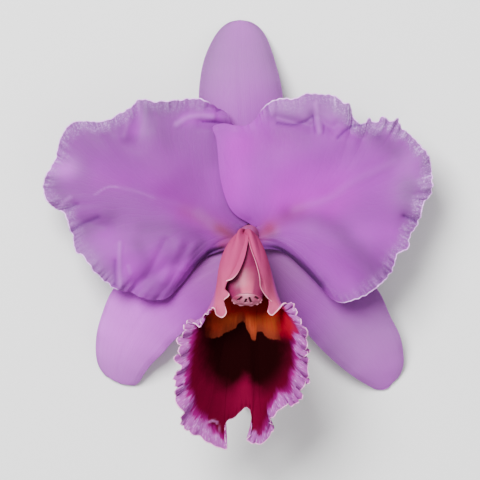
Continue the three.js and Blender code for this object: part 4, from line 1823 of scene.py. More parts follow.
        lengths = np.linalg.norm(np.diff(middle, axis=0), axis=2)
        from_base = np.vstack([np.zeros(len(rim)), np.cumsum(lengths, axis=0)])
        edge = from_base[-1] - from_base
        run = run_along(rim)
        crinkled = self.by_stretch(steps, [stretch.crinkle for stretch in self.margin],
                                   self.crinkle_reach)
        wave = np.sin(self.phase(run, self.crinkle_length, self.crinkle_uneven))
        middle[..., 2] += self.crinkle * crinkled * wave * bell(edge, self.crinkle_fade)
        middle += self.ruffles(rim, run, steps, edge)
        height, tone = creased(self.creases, middle[..., 0], middle[..., 1])
        face_up = smooth(from_base, *self.face_from)
        middle[..., 2] += height * face_up
        near = distance_to_points(middle, middle[-1])
        fields = {
            "edge": edge,
            "near": near,
            "flow": run,
            "across": angle / 360,
            "frill": follow(steps, self.frill_widths),
            "lobe": self.by_stretch(steps, [stretch.lobe for stretch in self.margin],
                                    self.lobe_reach),
            "rim": follow(steps, self.rim_widths),
            # Painted shade and painted highlight along the creases.
            "tone": tone * face_up,
        }
        thickness = mix(self.edge_thickness, self.thickness, smooth(near, 0, self.edge_width))
        return Sheet(middle, thickness, fields)

    def ruffles(self, rim: Array, run: Array, steps: Array, edge: Array) -> Array:
        """How far the frill's tight ruffles move each place: up and down, and along the margin.

        Args:
            rim: the margin's points.
            run: the distance along the margin at each.
            steps: its place counted in stations at each.
            edge: each place's distance from the margin.

        Returns:
            The way that each place moves.
        """
        phase = self.phase(run, self.ruffle_length, self.ruffle_uneven)
        along = unit(np.gradient(rim, axis=0) * np.array([1, 1, 0]))
        out = np.stack([along[:, 1], -along[:, 0], np.zeros(len(rim))], -1)
        up = np.array([0.0, 0.0, 1.0])
        move = np.sin(phase)[:, None] * (self.ruffle * up + self.ruffle_out * out)
        move += self.ruffle_swing * np.cos(phase)[:, None] * along
        strength = follow(steps, self.ruffle_strengths)
        return bell(edge, self.ruffle_fade)[..., None] * (strength[:, None] * move)[None]

    def build(self, inner: Material, outer: Material) -> None:
        """Builds the lip as a piece that replaces its solid."""
        keep(self.sheet().build(self.name, inner, outer), Slot.LIP, self.node)


# ------ column, anther cap, pollinia


@dataclass
class Column:
    """The column: it stands on the ovary, bends forward inside the lip and widens to its hood.

    Each section is a distance along it, its half width and its half depth. Each ring of the
    hood's lip is its size, how far its lower side stands forward, and how bright it is.
    """

    name: str = "column_flesh"
    node: str = "column"
    sections: tuple[Point, ...] = (
        (1.5, 2.3, 2.3), (3.5, 2.8, 2.7), (6, 3.5, 3.2), (12, 4.9, 3.2), (18, 7.0, 3.4),
        (23, 7.8, 3.5), (27, 7.4, 3.5), (29.5, 6.4, 3.3), (32.4, 5.4, 3),
    )
    hood: tuple[Point, ...] = (
        (1, 0, 0.5), (0.985, 0.18, 1), (0.94, 0.2, 1), (0.9, 0.05, 0.8), (0.85, -0.15, 0.6),
        (0.8, -0.3, 0.5),
    )
    sides: int = 144
    rings: int = 110
    offset_at: float = 14.0
    foot_radius: float = 3.55
    foot_levels: Ramp = (-2.7, -0.4)
    foot_along: Ramp = (0.0, 0.5)
    channel: Band = Band(4, 12, 25, 29)
    channel_depth: float = 0.28
    channel_sharpness: float = 6.0
    keel_height: float = 0.35
    keel_width: float = 0.22
    keel_along: Ramp = (6.0, 20.0)
    crest: float = 3.3
    crest_roundness: float = 0.5
    crested: Band = Band(3, 11, 22, 31)
    squareness: float = 0.8
    teeth: int = 13
    tooth: float = 0.35
    tooth_lean: float = 0.6
    teeth_uneven: float = 1.3
    teeth_below: Ramp = (-0.35, 0.35)
    tooth_fade: float = 8.0
    hood_face: float = 0.86

    def ring(self, distance: float, half_width: float, half_depth: float) -> Array:
        """A ring across the column, keeled above, with a shallow channel along its underside.

        Args:
            distance: how far along the column it is.
            half_width: half its width.
            half_depth: half its depth.

        Returns:
            Its points.
        """
        across, upwards = on_circle(around(self.sides)).T
        below = np.maximum(0, -upwards) ** self.channel_sharpness
        channel = 1 - self.channel_depth * within(distance, self.channel) * below
        keel = self.keel_height * bell(across, self.keel_width) * (upwards > 0)
        keel = keel * smooth(distance, *self.keel_along)
        crown = np.maximum(0, upwards) ** self.crest_roundness
        rise = COLUMN_RISE * smooth(distance, 0, self.offset_at)
        up = rise + half_depth * upwards * channel + keel
        up = up + self.crest * within(distance, self.crested) * crown
        points = tube_middle(np.full(self.sides, float(distance)))
        points[:, 0] += half_width * np.sign(across) * np.abs(across) ** self.squareness
        return points + up[:, None] * TUBE_UP

    def hood_rings(self, end: Array, below: Array) -> list[Array]:
        """The rings of the hood's toothed lip and of the hollow inside it.

        Args:
            end: the column's last ring.
            below: how far each of its sides is on the underside, from 0 to 1.

        Returns:
            The rings, from the outside inwards.
        """
        turn = around(self.sides)
        middle = end.mean(0)
        lobes = 0.5 + 0.5 * np.cos(self.teeth * turn + self.teeth_uneven * np.sin(2 * turn + 1))
        frilled = (self.tooth * lobes * below)[:, None]
        tooth = unit(end - middle) * self.tooth_lean + TUBE_DIRECTION
        return [
            middle + (end - middle) * share + depth * below[:, None] * TUBE_DIRECTION
            + frilled * tooth * min(1, 2 * share ** self.tooth_fade)
            for share, depth, _ in self.hood
        ]

    def build(self, finish: Material) -> None:
        """Builds the column as a piece that replaces its solid."""
        circle = on_circle(around(self.sides))
        foot = [
            np.append(circle * self.foot_radius + HUB, np.full((self.sides, 1), level), 1)
            for level in self.foot_levels
        ]
        path = spaced(self.sections, self.rings)
        rings = [self.ring(*section) for section in path]
        below = smooth(-circle[:, 1], *self.teeth_below)
        hood = self.hood_rings(rings.pop(), below)
        stack = np.stack([*foot, *rings, *hood])
        along = np.append([*self.foot_along, *path[:, 0]], np.full(len(hood) - 1, path[-1, 0]))
        lip = np.zeros((len(stack), self.sides))
        lip[-len(hood):] = [tone * below for _, _, tone in self.hood]
        keel = np.tile(circle[:, 1], (len(stack), 1))
        keel[-len(hood) + 1:] = self.hood_face
        fields = {"along": along[:, None], "keel": keel, "lip": lip}
        keep(Loft(stack, fields).build(self.name, finish), Slot.COLUMN, self.node)


@dataclass
class AntherCap:
    """The anther cap: a small cup over the end of the column, with slots down its face.

    Each slot is the x and y of its two ends, across the cap's face.
    """

    name: str = "anther_cap_shell"
    node: str = "anther_cap"
    half_width: float = 5.3
    half_depth: float = 2.98
    height: float = 1.25
    wall: float = 0.6
    ridges: int = 5
    ridge: float = 0.06
    start: float = 32.25
    steepest: float = 86.0
    sides: int = 160
    levels: int = 44
    slots: tuple[Point, ...] = (
        (-1.9, 1.7, -3.0, 0.5), (-0.2, 0.9, -0.6, -0.4), (0.9, 1.5, 1.5, -0.5),
        (3.1, 1.6, 3.9, 0.8),
    )
    slot_width: float = 0.4
    slot_sharpness: float = 4.0
    slot_depth: float = 0.5
    slot_starts: Ramp = (0.3, 0.9)
    fan_foot: float = 4.5
    fan: Ramp = (0.7, 0.3)
    fan_lines: int = 17
    fan_uneven: Ramp = (2.0, 5.0)
    pale_width: float = 2.4

    def dome(self, inset: float, ridged: float) -> tuple[Array, Array, Array]:
        """A plain dome.

        Args:
            inset: how much smaller it is than the cap all round.
            ridged: how high its ridges are, as a share of its size.

        Returns:
            Where its places are across, up and out of the column's end, ring by ring from its
            rim to its top.
        """
        level = np.radians(np.linspace(0, self.steepest, self.levels))[:, None]
        turn = around(self.sides)[None, :]
        radius = np.cos(level) * (1 + ridged * np.cos(self.ridges * turn) * np.sin(level))
        across = (self.half_width - inset) * radius * np.cos(turn)
        up = (self.half_depth - inset) * radius * np.sin(turn)
        return across, up, (self.height - inset) * np.sin(level) * np.ones_like(turn)

    def points(self, across: Array, up: Array, out: Array) -> Array:
        """The points of a dome on the end of the column."""
        points = tube_middle(self.start + out)
        points[..., 0] += across
        return points + (COLUMN_RISE + up)[..., None] * TUBE_UP

    def build(self, finish: Material) -> None:
        """Builds the cap as a piece that replaces its solid."""
        across, up, out = self.dome(0.0, self.ridge)
        slot = np.zeros_like(across)
        for x1, y1, x2, y2 in self.slots:
            away = distance_to_line(across, up, ((x1, y1), (x2, y2)))
            slot = np.maximum(slot, np.exp(-((away / self.slot_width) ** self.slot_sharpness)))
        out = out - self.slot_depth * slot * smooth(out, *self.slot_starts)
        fan = np.arctan2(across, up + self.fan_foot)
        (base, swing), (drift, rate) = self.fan, self.fan_uneven
        pale = base + swing * np.cos(self.fan_lines * fan + drift * np.sin(rate * fan))
        pale = pale * smooth(0.5 - up / self.half_depth, 0, 1)
        pale = np.maximum(pale, bell(across, self.pale_width)) * (1 - slot)
        inner = self.points(*self.dome(self.wall, 0.0))
        plain = np.zeros_like(slot)
        stack = np.concatenate([inner[::-1], self.points(across, up, out)])
        fields = {
            "slot": np.concatenate([plain, slot]),
            "ridge": np.concatenate([plain, pale]),
        }
        keep(Loft(stack, fields).build(self.name, finish), Slot.ANTHER_CAP, self.node)


class Growth(Nodes):
    """Geometry nodes that grow a piece, with named inputs set by their identifiers."""

    def __init__(self, name: str) -> None:
        """Starts an empty tree that puts out a geometry."""
        super().__init__(bpy.data.node_groups.new(name, "GeometryNodeTree"))
        self.tree.interface.new_socket("Geometry", in_out="OUTPUT",
                                       socket_type="NodeSocketGeometry")
        self.source = self.tree.nodes.new("NodeGroupInput")
        self.values: dict[str, float] = {}

    def size(self, name: str, value: float) -> Wire:
        """A named input of the tree.

        Args:
            name: its name.
            value: its value; a whole number makes it an input for whole numbers.

        Returns:
            What the tree reads it from.
        """
        kind = "NodeSocketInt" if isinstance(value, int) else "NodeSocketFloat"
        item = self.tree.interface.new_socket(name, in_out="INPUT", socket_type=kind)
        self.values[item.identifier] = value
        return Wire(self, self.source.outputs[name])

    def ball(self, radius: float, segments: int, rings: int) -> Node:
        """A small round body with few faces, its radius in the row's metres."""
        return self.add("GeometryNodeMeshUVSphere", {
            "Radius": radius, "Segments": segments, "Rings": rings,
        })

    def laid(self, geometry: Node, middle: Array, turn: float) -> Node:
        """The geometry turned about x by an angle, then moved to a place in the bloom."""
        return self.add("GeometryNodeTransform", {
            "Geometry": geometry, "Translation": tuple(placed(middle)), "Rotation": (turn, 0, 0),
        })

    def plain_mesh(
        self, name: str, last: Node, finish: Material
    ) -> bpy.types.Object:
        """Realizes the tree, dresses it and turns it into a plain mesh object.

        Args:
            name: the piece's name.
            last: the node with the finished geometry, in the row's metres.
            finish: its material.

        Returns:
            The object, at the origin, without its modifier.
        """
        real = self.add("GeometryNodeRealizeInstances", {"Geometry": last})
        rounded = self.add("GeometryNodeSetShadeSmooth", {"Geometry": real})
        dressed = self.add("GeometryNodeSetMaterial", {"Geometry": rounded, "Material": finish})
        self.add("NodeGroupOutput", {0: dressed})
        carrier = in_scene(name + "_carrier", bpy.data.meshes.new(name + "_carrier"))
        modifier = carrier.modifiers.new("grow", "NODES")
        modifier.node_group = self.tree
        for identifier, value in self.values.items():
            modifier[identifier] = value
        evaluated = carrier.evaluated_get(bpy.context.evaluated_depsgraph_get())
        data = bpy.data.meshes.new_from_object(evaluated)
        data.name = name
        bpy.data.objects.remove(carrier)
        return in_scene(name, data)


@dataclass
class Pollinia:
    """The pollinia: four flattened waxy masses in a row."""

    name: str = "pollinia_masses"
    node: str = "pollinia"
    count: int = 4
    spacing: float = 1.25
    half_sizes: Point = (0.74, 0.95, 0.36)
    start: float = 32.3
    segments: int = 28
    rings: int = 16

    def build(self, finish: Material) -> None:
        """Builds the masses as a piece that replaces their solid."""
        tree = Growth("pollinia_row")
        count = tree.size("Count", self.count)
        step = tree.vector(tree.size("Spacing", self.spacing * MM), 0.0)
        start = (-self.spacing * MM * (self.count - 1) / 2, 0, 0)
        row = tree.add("GeometryNodeMeshLine", {
            "Count": count, "Start Location": start, "Offset": step,
        })
        masses = tree.add("GeometryNodeInstanceOnPoints", {
            "Points": row, "Instance": tree.ball(MM, self.segments, self.rings),
            "Scale": self.half_sizes,
        })
        middle = tube_middle(self.start) + COLUMN_RISE * TUBE_UP
        laid = tree.laid(masses, middle, math.pi / 2 - TILT)
        keep(tree.plain_mesh(self.name, laid, finish), Slot.POLLINIA, self.node)


# ------ ovary and stalk


@dataclass
class OvaryAndStalk:
    """The ovary with its stalk: six low ribs, bent down and laid along the surface.

    Each station is its y, the height of its middle and its radius.
    """

    name: str = "ovary_and_stalk"
    node: str = "ovary"
    stations: tuple[Point, ...] = (
        (0, -3, 4.6), (0, -5, 4.5), (-0.2, -7.4, 3.3), (-2.2, -12, 3.3), (-7, -16, 3.4),
        (-14, -18.1, 3.5), (-24, -18.7, 3.3), (-36, -19.2, 2.8), (-48, -19.6, 2.4),
        (-62, -19.6, 2.4),
    )
    sides: int = 120
    rings: int = 240
    ribs: int = 6
    rib: float = 0.1
    rib_twist: float = 0.5
    ribbed: Band = Band(0.06, 0.14, 0.5, 0.7)
    unevenness: float = 0.015
    swellings: float = 9.0
    seed: int = 3
    cut_rounding: tuple[float, ...] = (1.0, 0.985, 0.94)

    def build(self, finish: Material) -> None:
        """Builds the ovary and stalk as a piece that replaces their solid."""
        y, z, radius = spaced(self.stations, self.rings).T
        path = np.stack([y, z], -1)
        run = unit(np.gradient(path, axis=0))
        share = np.linspace(0, 1, self.rings + 1)[:, None]
        turn = around(self.sides)[None, :]
        groove = ((1 - np.cos(self.ribs * (turn + self.rib_twist * share))) / 2) ** 2
        ribbed = within(share, self.ribbed)
        uneven = 1 + self.unevenness * waver(share, self.swellings, self.seed)
        reach = radius[:, None] * (1 - self.rib * ribbed * groove) * uneven
        reach[-len(self.cut_rounding):] *= np.array(self.cut_rounding)[:, None]
        up = reach * np.sin(turn)
        points = np.stack([
            reach * np.cos(turn), y[:, None] + up * run[:, 1:], z[:, None] - up * run[:, :1],
        ], -1)
        fields = {
            "along": run_along(path)[:, None],
            "groove": groove * ribbed,
            "turn": np.abs(turn / math.pi - 1),
        }
        keep(Loft(points, fields).build(self.name, finish), Slot.STALK, self.node)


@dataclass
class CutEnd:
    """The fibres that show in the stalk's cut end, scattered over its face."""

    name: str = "cut_end_bundles"
    radius: float = 2.05
    sides: int = 48
    bundle_radius: float = 0.15
    bundle_sizes: Ramp = (0.6, 1.15)
    segments: int = 12
    rings: int = 8
    spacing: float = 0.36
    density: float = 9.0
    seed: int = 11
    centre: Point = (0, -61.95, -19.6)

    def build(self, finish: Material) -> None:
        """Builds the fibres as a piece on the end of the stalk."""
        tree = Growth("cut_bundles")
        face = tree.add("GeometryNodeMeshCircle", {
            "Vertices": self.sides, "Radius": tree.size("Face radius", self.radius * MM),
        }, fill_type="NGON")
        spots = tree.add("GeometryNodeDistributePointsOnFaces", {
            "Mesh": face, "Distance Min": tree.size("Spacing", self.spacing * MM),
            "Density Max": tree.size("Density", self.density / MM ** 2), "Seed": self.seed,
        }, distribute_method="POISSON")
        least, most = self.bundle_sizes
        sizes = tree.add("FunctionNodeRandomValue", {2: least, 3: most, "Seed": self.seed})
        bundles = tree.add("GeometryNodeInstanceOnPoints", {
            "Points": spots, "Scale": Wire(tree, sizes.outputs[1]),
            "Instance": tree.ball(self.bundle_radius * MM, self.segments, self.rings),
        })
        laid = tree.laid(bundles, np.array(self.centre), math.pi / 2)
        keep(tree.plain_mesh(self.name, laid, finish), Slot.STALK)


# ------ this bloom's own forms


DORSAL_SEPAL = Sepal(
    "dorsal_sepal_blade", "dorsal_sepal", 0.11,
    (
        (-3.6, 4.95, 3.6, 4.95, -4.3), (-8, 14, 7, 14, -4.6), (-13.5, 28, 10.5, 28, -4.8),
        (-17, 41, 12.2, 41, -6), (-18, 50, 12.2, 50, -7.6), (-17.4, 58, 10.8, 58, -10),
        (-16, 64.5, 9, 64.5, -12.8), (-14, 69.5, 7.4, 69.5, -15.6),
        (-11.8, 73.5, 5.6, 73.5, -18.4), (-9.4, 76.3, 3.3, 76.3, -20.6),
        (-6.8, 78, 0.6, 78, -21.6), (-4.4, 78.6, -2.0, 78.6, -21.7),
    ),
    paleness=0.2,
    painted_edge_shade=0.7,
    painted_shade=((0, 0.2), (0.55, 0.2), (0.75, 0.4), (1, 0.25)),
    seed=21,
)
LEFT_LATERAL_SEPAL = Sepal(
    "left_lateral_sepal_blade", "left_lateral_sepal", 0.09,
    (
        (-5.25, -2.2, -0.85, -5.6, -4.3), (-17, -5, -5, -16.4, -5), (-31, -8, -13.4, -27, -5.5),
        (-43, -13, -22, -33.2, -6.5), (-49.5, -20, -27.5, -38, -8),
        (-53.2, -28.5, -31.8, -42.8, -10.4), (-55.2, -36, -35.5, -46.5, -13.2),
        (-55.5, -42.5, -38.3, -50.2, -16.2), (-54.6, -47.2, -40, -53, -18.8),
        (-52, -50.8, -42, -54.4, -20.8), (-49, -52.4, -45, -54, -21.7),
        (-47.6, -53.4, -46.4, -53.9, -21.8),
    ),
    # Paler than the right lateral sepal; the difference is painted light.
    paleness=0.7,
    painted_edge_shade=0.2,
    painted_shade=((0, 0.2), (0.35, 0.0), (0.5, -0.5), (0.7, -0.5), (0.85, -0.1), (1, 0)),
    seed=31,
)
RIGHT_LATERAL_SEPAL = Sepal(
    "right_lateral_sepal_blade", "right_lateral_sepal", 0.09,
    (
        (5.25, -2.2, 0.85, -5.6, -4.3), (16, -5.5, 6.3, -15.6, -5), (29, -8.5, 12.2, -27.2, -5.5),
        (40, -13, 20, -34, -6.5), (46.8, -20, 25.5, -40, -8), (51.3, -29.5, 31, -45.3, -10.4),
        (54.6, -36, 36.5, -49.8, -13.2), (56, -42.5, 41, -52.9, -16.2),
        (56, -47.5, 44, -54.6, -18.8), (54.3, -51.5, 46.4, -55.8, -20.8),
        (52, -53.8, 48.7, -56, -21.7), (50.9, -55.2, 49.7, -55.8, -21.8),
    ),
    paleness=0.4,
    painted_edge_shade=0.2,
    painted_shade=((0, 0.4), (0.3, 0.5), (0.6, 0.5), (0.8, 0.1), (1, -0.1)),
    seed=41,
)

# The margin runs from the top of the clasping base, over the upper edge and the far end, and
# back along the lower edge.
LEFT_PETAL = Petal(
    name="left_petal_blade", node="left_petal",
    base_from=104, base_to=208, axis=160, base_level=-2.15,
    rise=5.4, rise_reach=16, droop=5.5, rolled=2.5,
    margin=(
        (0.5, 5.25), (1.7, 5.7), (3.5, 7), (6, 10.5), (8, 16.5), (8.6, 22.5), (7, 29), (3, 34),
        (-2, 37.2), (-6.2, 40.5), (-8.5, 44.6), (-11, 45.8), (-13.5, 47.5), (-16, 48.9),
        (-19, 49.6), (-24, 49.2), (-30.5, 48.6), (-35, 48.6), (-38, 49.5), (-41, 48.3),
        (-43, 46), (-46.5, 44.3), (-50.5, 42), (-54, 41.3), (-59.5, 41.5), (-63.5, 41),
        (-66, 38.8), (-68.5, 34), (-69.8, 28), (-72, 24), (-74, 20), (-74.2, 16.5),
        (-73, 12.8), (-70, 10), (-66.5, 8), (-65, 3.5), (-63.3, -1), (-62.8, -5),
        (-59.5, -7.6), (-56, -12.5), (-52, -16.2), (-47.5, -19.3), (-43, -20), (-39, -22),
        (-35, -23), (-30, -22.5), (-26.5, -19.5), (-22.5, -15), (-19, -10.5), (-15.5, -7.6),
        (-12, -6), (-8.8, -5), (-6.3, -4.4),
    ),
    folds=(
        Fold(-8, 2, -58, 24, 5, -0.5), Fold(-36, 50, -40, 34, 3, -1.2),
        Fold(-43, 46, -45, 36, 2, 1.1), Fold(-15, 46, -7, 45, 1.6, -1.2),
        Fold(-17, 41, -5, 39, 2, -1.6), Fold(-66, 7, -52, 3, 3.2, -1.2),
        Fold(-30, 22, -44, 34, 9, 2.4), Fold(-28, -4, -48, -8, 8, 2.6),
        Fold(-28, -10, -40, -18, 2.6, -1), Fold(-25, -3, -31, -16, 1.9, 0.8),
        Fold(-30, -2, -37, -15, 1.6, -0.6), Fold(-20, -4, -24, -12, 1.5, 0.6),
    ),
    creases=(
        Crease(0.3, 0.38, 0.1, ((-55.5, 14.8), (-51.2, 17.4), (-47.6, 17.6))),
        Crease(0.12, 0.7, 0.06, ((-47.6, 17.6), (-39.2, 15.5), (-34.6, 13.7))),
        Crease(0.06, 1.5, 0.05, ((-34.6, 13.7), (-26, 11.4), (-16.6, 6.5), (-10.4, 0.4))),
        Crease(0.4, 0.9, 0.5, ((-26, 40), (-21.2, 42.8), (-13, 42.7))),
        Crease(-0.55, 0.55, -0.5, ((-16.6, 40.9), (-11.6, 40.9), (-6.8, 39.3), (-1, 38.2))),
        Crease(-0.5, 0.45, -0.4, ((-11.6, 44.8), (-9.8, 45.5), (-8.4, 45.1))),
        Crease(-0.4, 1.0, -0.4, ((-63.8, 2.2), (-59.8, 4.3), (-54.4, 6.7))),
        Crease(0.35, 0.8, 0.4, ((-67.4, 11.2), (-64.4, 13.7))),
        Crease(-0.35, 0.8, -0.3, ((-65.2, 9.4), (-62, 11.5))),
        Crease(0.35, 0.7, 0.5, ((-46.4, -2.5), (-46.6, -10), (-46.2, -18.7))),
        Crease(-0.4, 0.8, -0.4, ((-48, -9), (-48.2, -17.6))),
        Crease(0.3, 0.5, 0.2, ((-43.4, -10.8), (-42.6, -13.4))),
        Crease(-0.45, 0.7, -0.4, ((-14.8, -5.8), (-12, -4.9), (-9.4, -4.3))),
        Crease(-0.5, 1.7, 0, ((-8, -4.6), (-12, -5.8), (-15.5, -7.6), (-19, -10.6))),
    ),
    flushes=(
        Fold(-12, 3, -30, 14, 6, 0.4), Fold(-18, 18, -30, 24, 9, 0.25),
        Fold(-13, -8, -24, -16, 4, 0.3), Fold(-46, 19, -54, 19, 4, 0.3),
        Fold(-10, 4, -24, 7, 4, 0.4),
    ),
    fades=(
        Fold(-70, 22, -64, 25, 4, 0.4), Fold(-10, 2, -18, 8, 2.4, 0.25),
        Fold(-39, 46, -38, 38, 3, 0.3), Fold(-66, -2, -52, -14, 5, 0.3),
    ),
    painted_shades=(
        Crease(0.9, 4, 0, ((-71, 25), (-66, 24))), Crease(0.3, 5, 0, ((-53, 24), (-37, 20))),
        Crease(0.6, 6, 0, ((-51, -1), (-44, -10))), Crease(0.5, 3.5, 0, ((-42, -13), (-41, -18))),
        Crease(0.8, 2.4, 0, ((-41, 45), (-41, 38))), Crease(0.7, 2.4, 0, ((-23, 42), (-12, 43))),
        Crease(0.4, 4, 0, ((-12, 22), (-12, 14))),
        Crease(-0.3, 3, 0, ((-19, 1), (-26, 3), (-38, 3))),
        Crease(-0.4, 2, 0, ((-9, -4.8), (-12, -5.8), (-15.5, -7.6), (-19, -10.6))),
        Crease(-0.5, 3.5, 0, ((-36, 46), (-29, 47))),
        Crease(-0.25, 4, 0, ((-33, 40), (-29, 34))), Crease(-0.2, 5, 0, ((-56, 36), (-48, 38))),
        Crease(-0.3, 4, 0, ((-70, 17), (-66, 12))), Crease(-0.35, 2.2, 0, ((-40, -3), (-37, -8))),
        Crease(0.7, 4, 0, ((-34, -8), (-29, -13), (-21, -12))),
        Crease(-0.5, 4, 0, ((-58, 3), (-50, 6))),
        Crease(0.5, 2.4, 0, ((-6, -3), (-9, -3.2))), Crease(-0.5, 2, 0, ((-17, -3), (-20, -7))),
    ),
    claws=(
        Fold(-5, -0.5, -11, 2.5, 2.2, 0.7), Fold(-5, -3, -9.4, -3.6, 2.4, 0.9),
        Fold(-9, 2.5, -23, 9, 3, 0.32),
    ),
    # Painted shade all over: the left petal is darker than the right one.
    painted_shade=0.5,
    rimmed=Band(0.235, 0.262, 0.765, 0.8),
    frosting=(
        (0.235, 0), (0.262, 0.3), (0.36, 0.4), (0.4, 0.75), (0.46, 0.85), (0.5, 0.45),
        (0.6, 0.5), (0.66, 0.4), (0.7, 0.2), (0.8, 0.12), (0.83, 0),
    ),
    seed=51,
)
RIGHT_PETAL = Petal(
    name="right_petal_blade", node="right_petal",
    base_from=76, base_to=-46, axis=20, base_level=-0.9,
    rise=9.2, rise_reach=14, droop=9, rolled=5,
    margin=(
        (-0.5, 5.25), (-1.6, 5.65), (-3, 6.3), (-5, 7.8), (-7, 10.4), (-8.7, 14.5), (-10, 19.5),
        (-10.8, 25), (-11.2, 30), (-11.8, 35), (-13, 39), (-9.5, 40.3), (-5, 39.6),
        (-1, 39.6), (2, 41.5), (4.7, 45.5), (7.5, 48), (11.5, 49.4), (16, 49.3), (18, 50),
        (20, 51.1), (26, 51), (31, 50.4), (33.5, 48.4), (36.6, 46.8), (37, 44), (40.3, 40.2),
        (43.5, 42.3), (45.6, 40.7), (48, 43), (51, 41.3), (53.8, 42.3), (54.5, 39.5),
        (58, 36.6), (62, 32.4), (64.7, 29), (65.9, 22), (65.5, 15), (62.8, 11.8), (62, 8),
        (60, 3), (58, 0.3), (57, -4.7), (53.6, -6.2), (51.5, -12.3), (48.2, -16.4),
        (42, -21.2), (37.5, -23), (33.5, -24), (30.5, -23), (25.5, -18), (21, -13.4),
        (16.5, -9), (12.8, -6), (9.3, -4.8), (4.8, -4.6),
    ),
    folds=(
        Fold(8, 2, 54, 27, 5, -0.5), Fold(10, 42.5, 22, 39.5, 1.8, -1.8),
        Fold(23, 43.5, 30, 38, 1.8, -1.4), Fold(32, 40, 40, 35, 2, -1.3),
        Fold(56, 6.8, 61, 5, 1.8, -0.9), Fold(14, 26, 34, 36, 8, 2),
        Fold(24, -2, 42, -6, 9, 2.8), Fold(40, 24, 54, 30, 6, 1.6),
    ),
    creases=(
        Crease(-0.6, 0.6, -0.5, ((10.1, 40.4), (15.8, 39.7), (19, 40.6), (22.9, 43))),
        Crease(0.35, 0.9, 0.5, ((24.2, 47.5), (24.8, 42), (25.4, 37.4))),
        Crease(-0.45, 0.45, -0.3, ((23.2, 43.2), (23.4, 40), (23.9, 37.2))),
        Crease(-0.35, 0.5, -0.2, ((26.8, 39.5), (26.8, 37))),
        Crease(-0.6, 0.7, -0.5, ((40.7, 40.1), (36, 38.8), (32, 35.3))),
        Crease(0.15, 1.6, 0.14, ((52, 26.5), (37, 19.2), (30, 14), (16.5, 9.4))),
        Crease(-0.5, 1.7, 0, ((7, -4), (10, -4.7), (15, -7.6), (20, -12), (25.5, -17.6))),
        Crease(-0.6, 0.7, -0.5, ((55.6, 7.2), (58, 6.2), (60, 5.2))),
        Crease(-0.25, 1.4, -0.2, ((45.5, 36.4), (47, 35.6))),
    ),
    flushes=(
        Fold(-7, 16, -4, 31, 6, 0.8), Fold(12, 13, 27, 12, 6, 0.95), Fold(-4, 34, 12, 34, 6, 0.4),
        Fold(9, 5, 18, 9, 5, 0.4), Fold(16, 22, 32, 20, 7, 0.45), Fold(30, 8, 36, 14, 5, 0.4),
    ),
    fades=(
        Fold(56, 16, 58, 26, 6, 0.35), Fold(10, 46, 30, 46, 5, 0.4), Fold(6, 1, 9, 2, 2, 0.5),
    ),
    painted_shades=(
        Crease(0.4, 7, 0, ((-6, 33), (-4, 12))), Crease(0.45, 6, 0, ((0, 21), (44, 21))),
        Crease(0.35, 5, 0, ((-3, 13), (22, 12))), Crease(0.35, 4, 0, ((40, 1), (50, 1))),
        Crease(0.3, 4, 0, ((0, 41), (6, 41))), Crease(0.3, 4, 0, ((54, 24), (58, 24))),
        Crease(-0.7, 4, 0, ((14, 8), (28, 5), (37, -3), (46, -14))),
        Crease(-0.5, 2.6, 0, ((9, -1), (17, -9), (25, -17))),
        Crease(-0.5, 2.1, 0, ((7, -4), (10, -4.7), (15, -7.6), (20, -12), (25.5, -17.6))),
        Crease(-0.6, 4.6, 0, ((58, 18), (57, 8))), Crease(-0.6, 4, 0, ((45, 36), (52, 31))),
        Crease(-0.7, 3.5, 0, ((32, 47), (36, 44))), Crease(-0.3, 5, 0, ((12, 44), (24, 44))),
        Crease(-0.3, 5, 0, ((11, 37), (19, 36))), Crease(0.3, 4, 0, ((26, -8), (34, -16))),
    ),
    claws=(Fold(4, 0, 7.5, 2.4, 2.8, 0.85), Fold(8, 4, 18, 9.5, 3, 0.3)),
    painted_shade=0.05,
    rimmed=Band(0.235, 0.265, 0.835, 0.865),
    frosting=(
        (0.235, 0), (0.265, 0.3), (0.3, 0.35), (0.33, 0.7), (0.38, 0.85), (0.5, 0.9), (0.55, 1),
        (0.64, 1.1), (0.68, 0.7), (0.74, 0.5), (0.8, 0.3), (0.85, 0.15), (0.87, 0),
    ),
    seed=61,
)

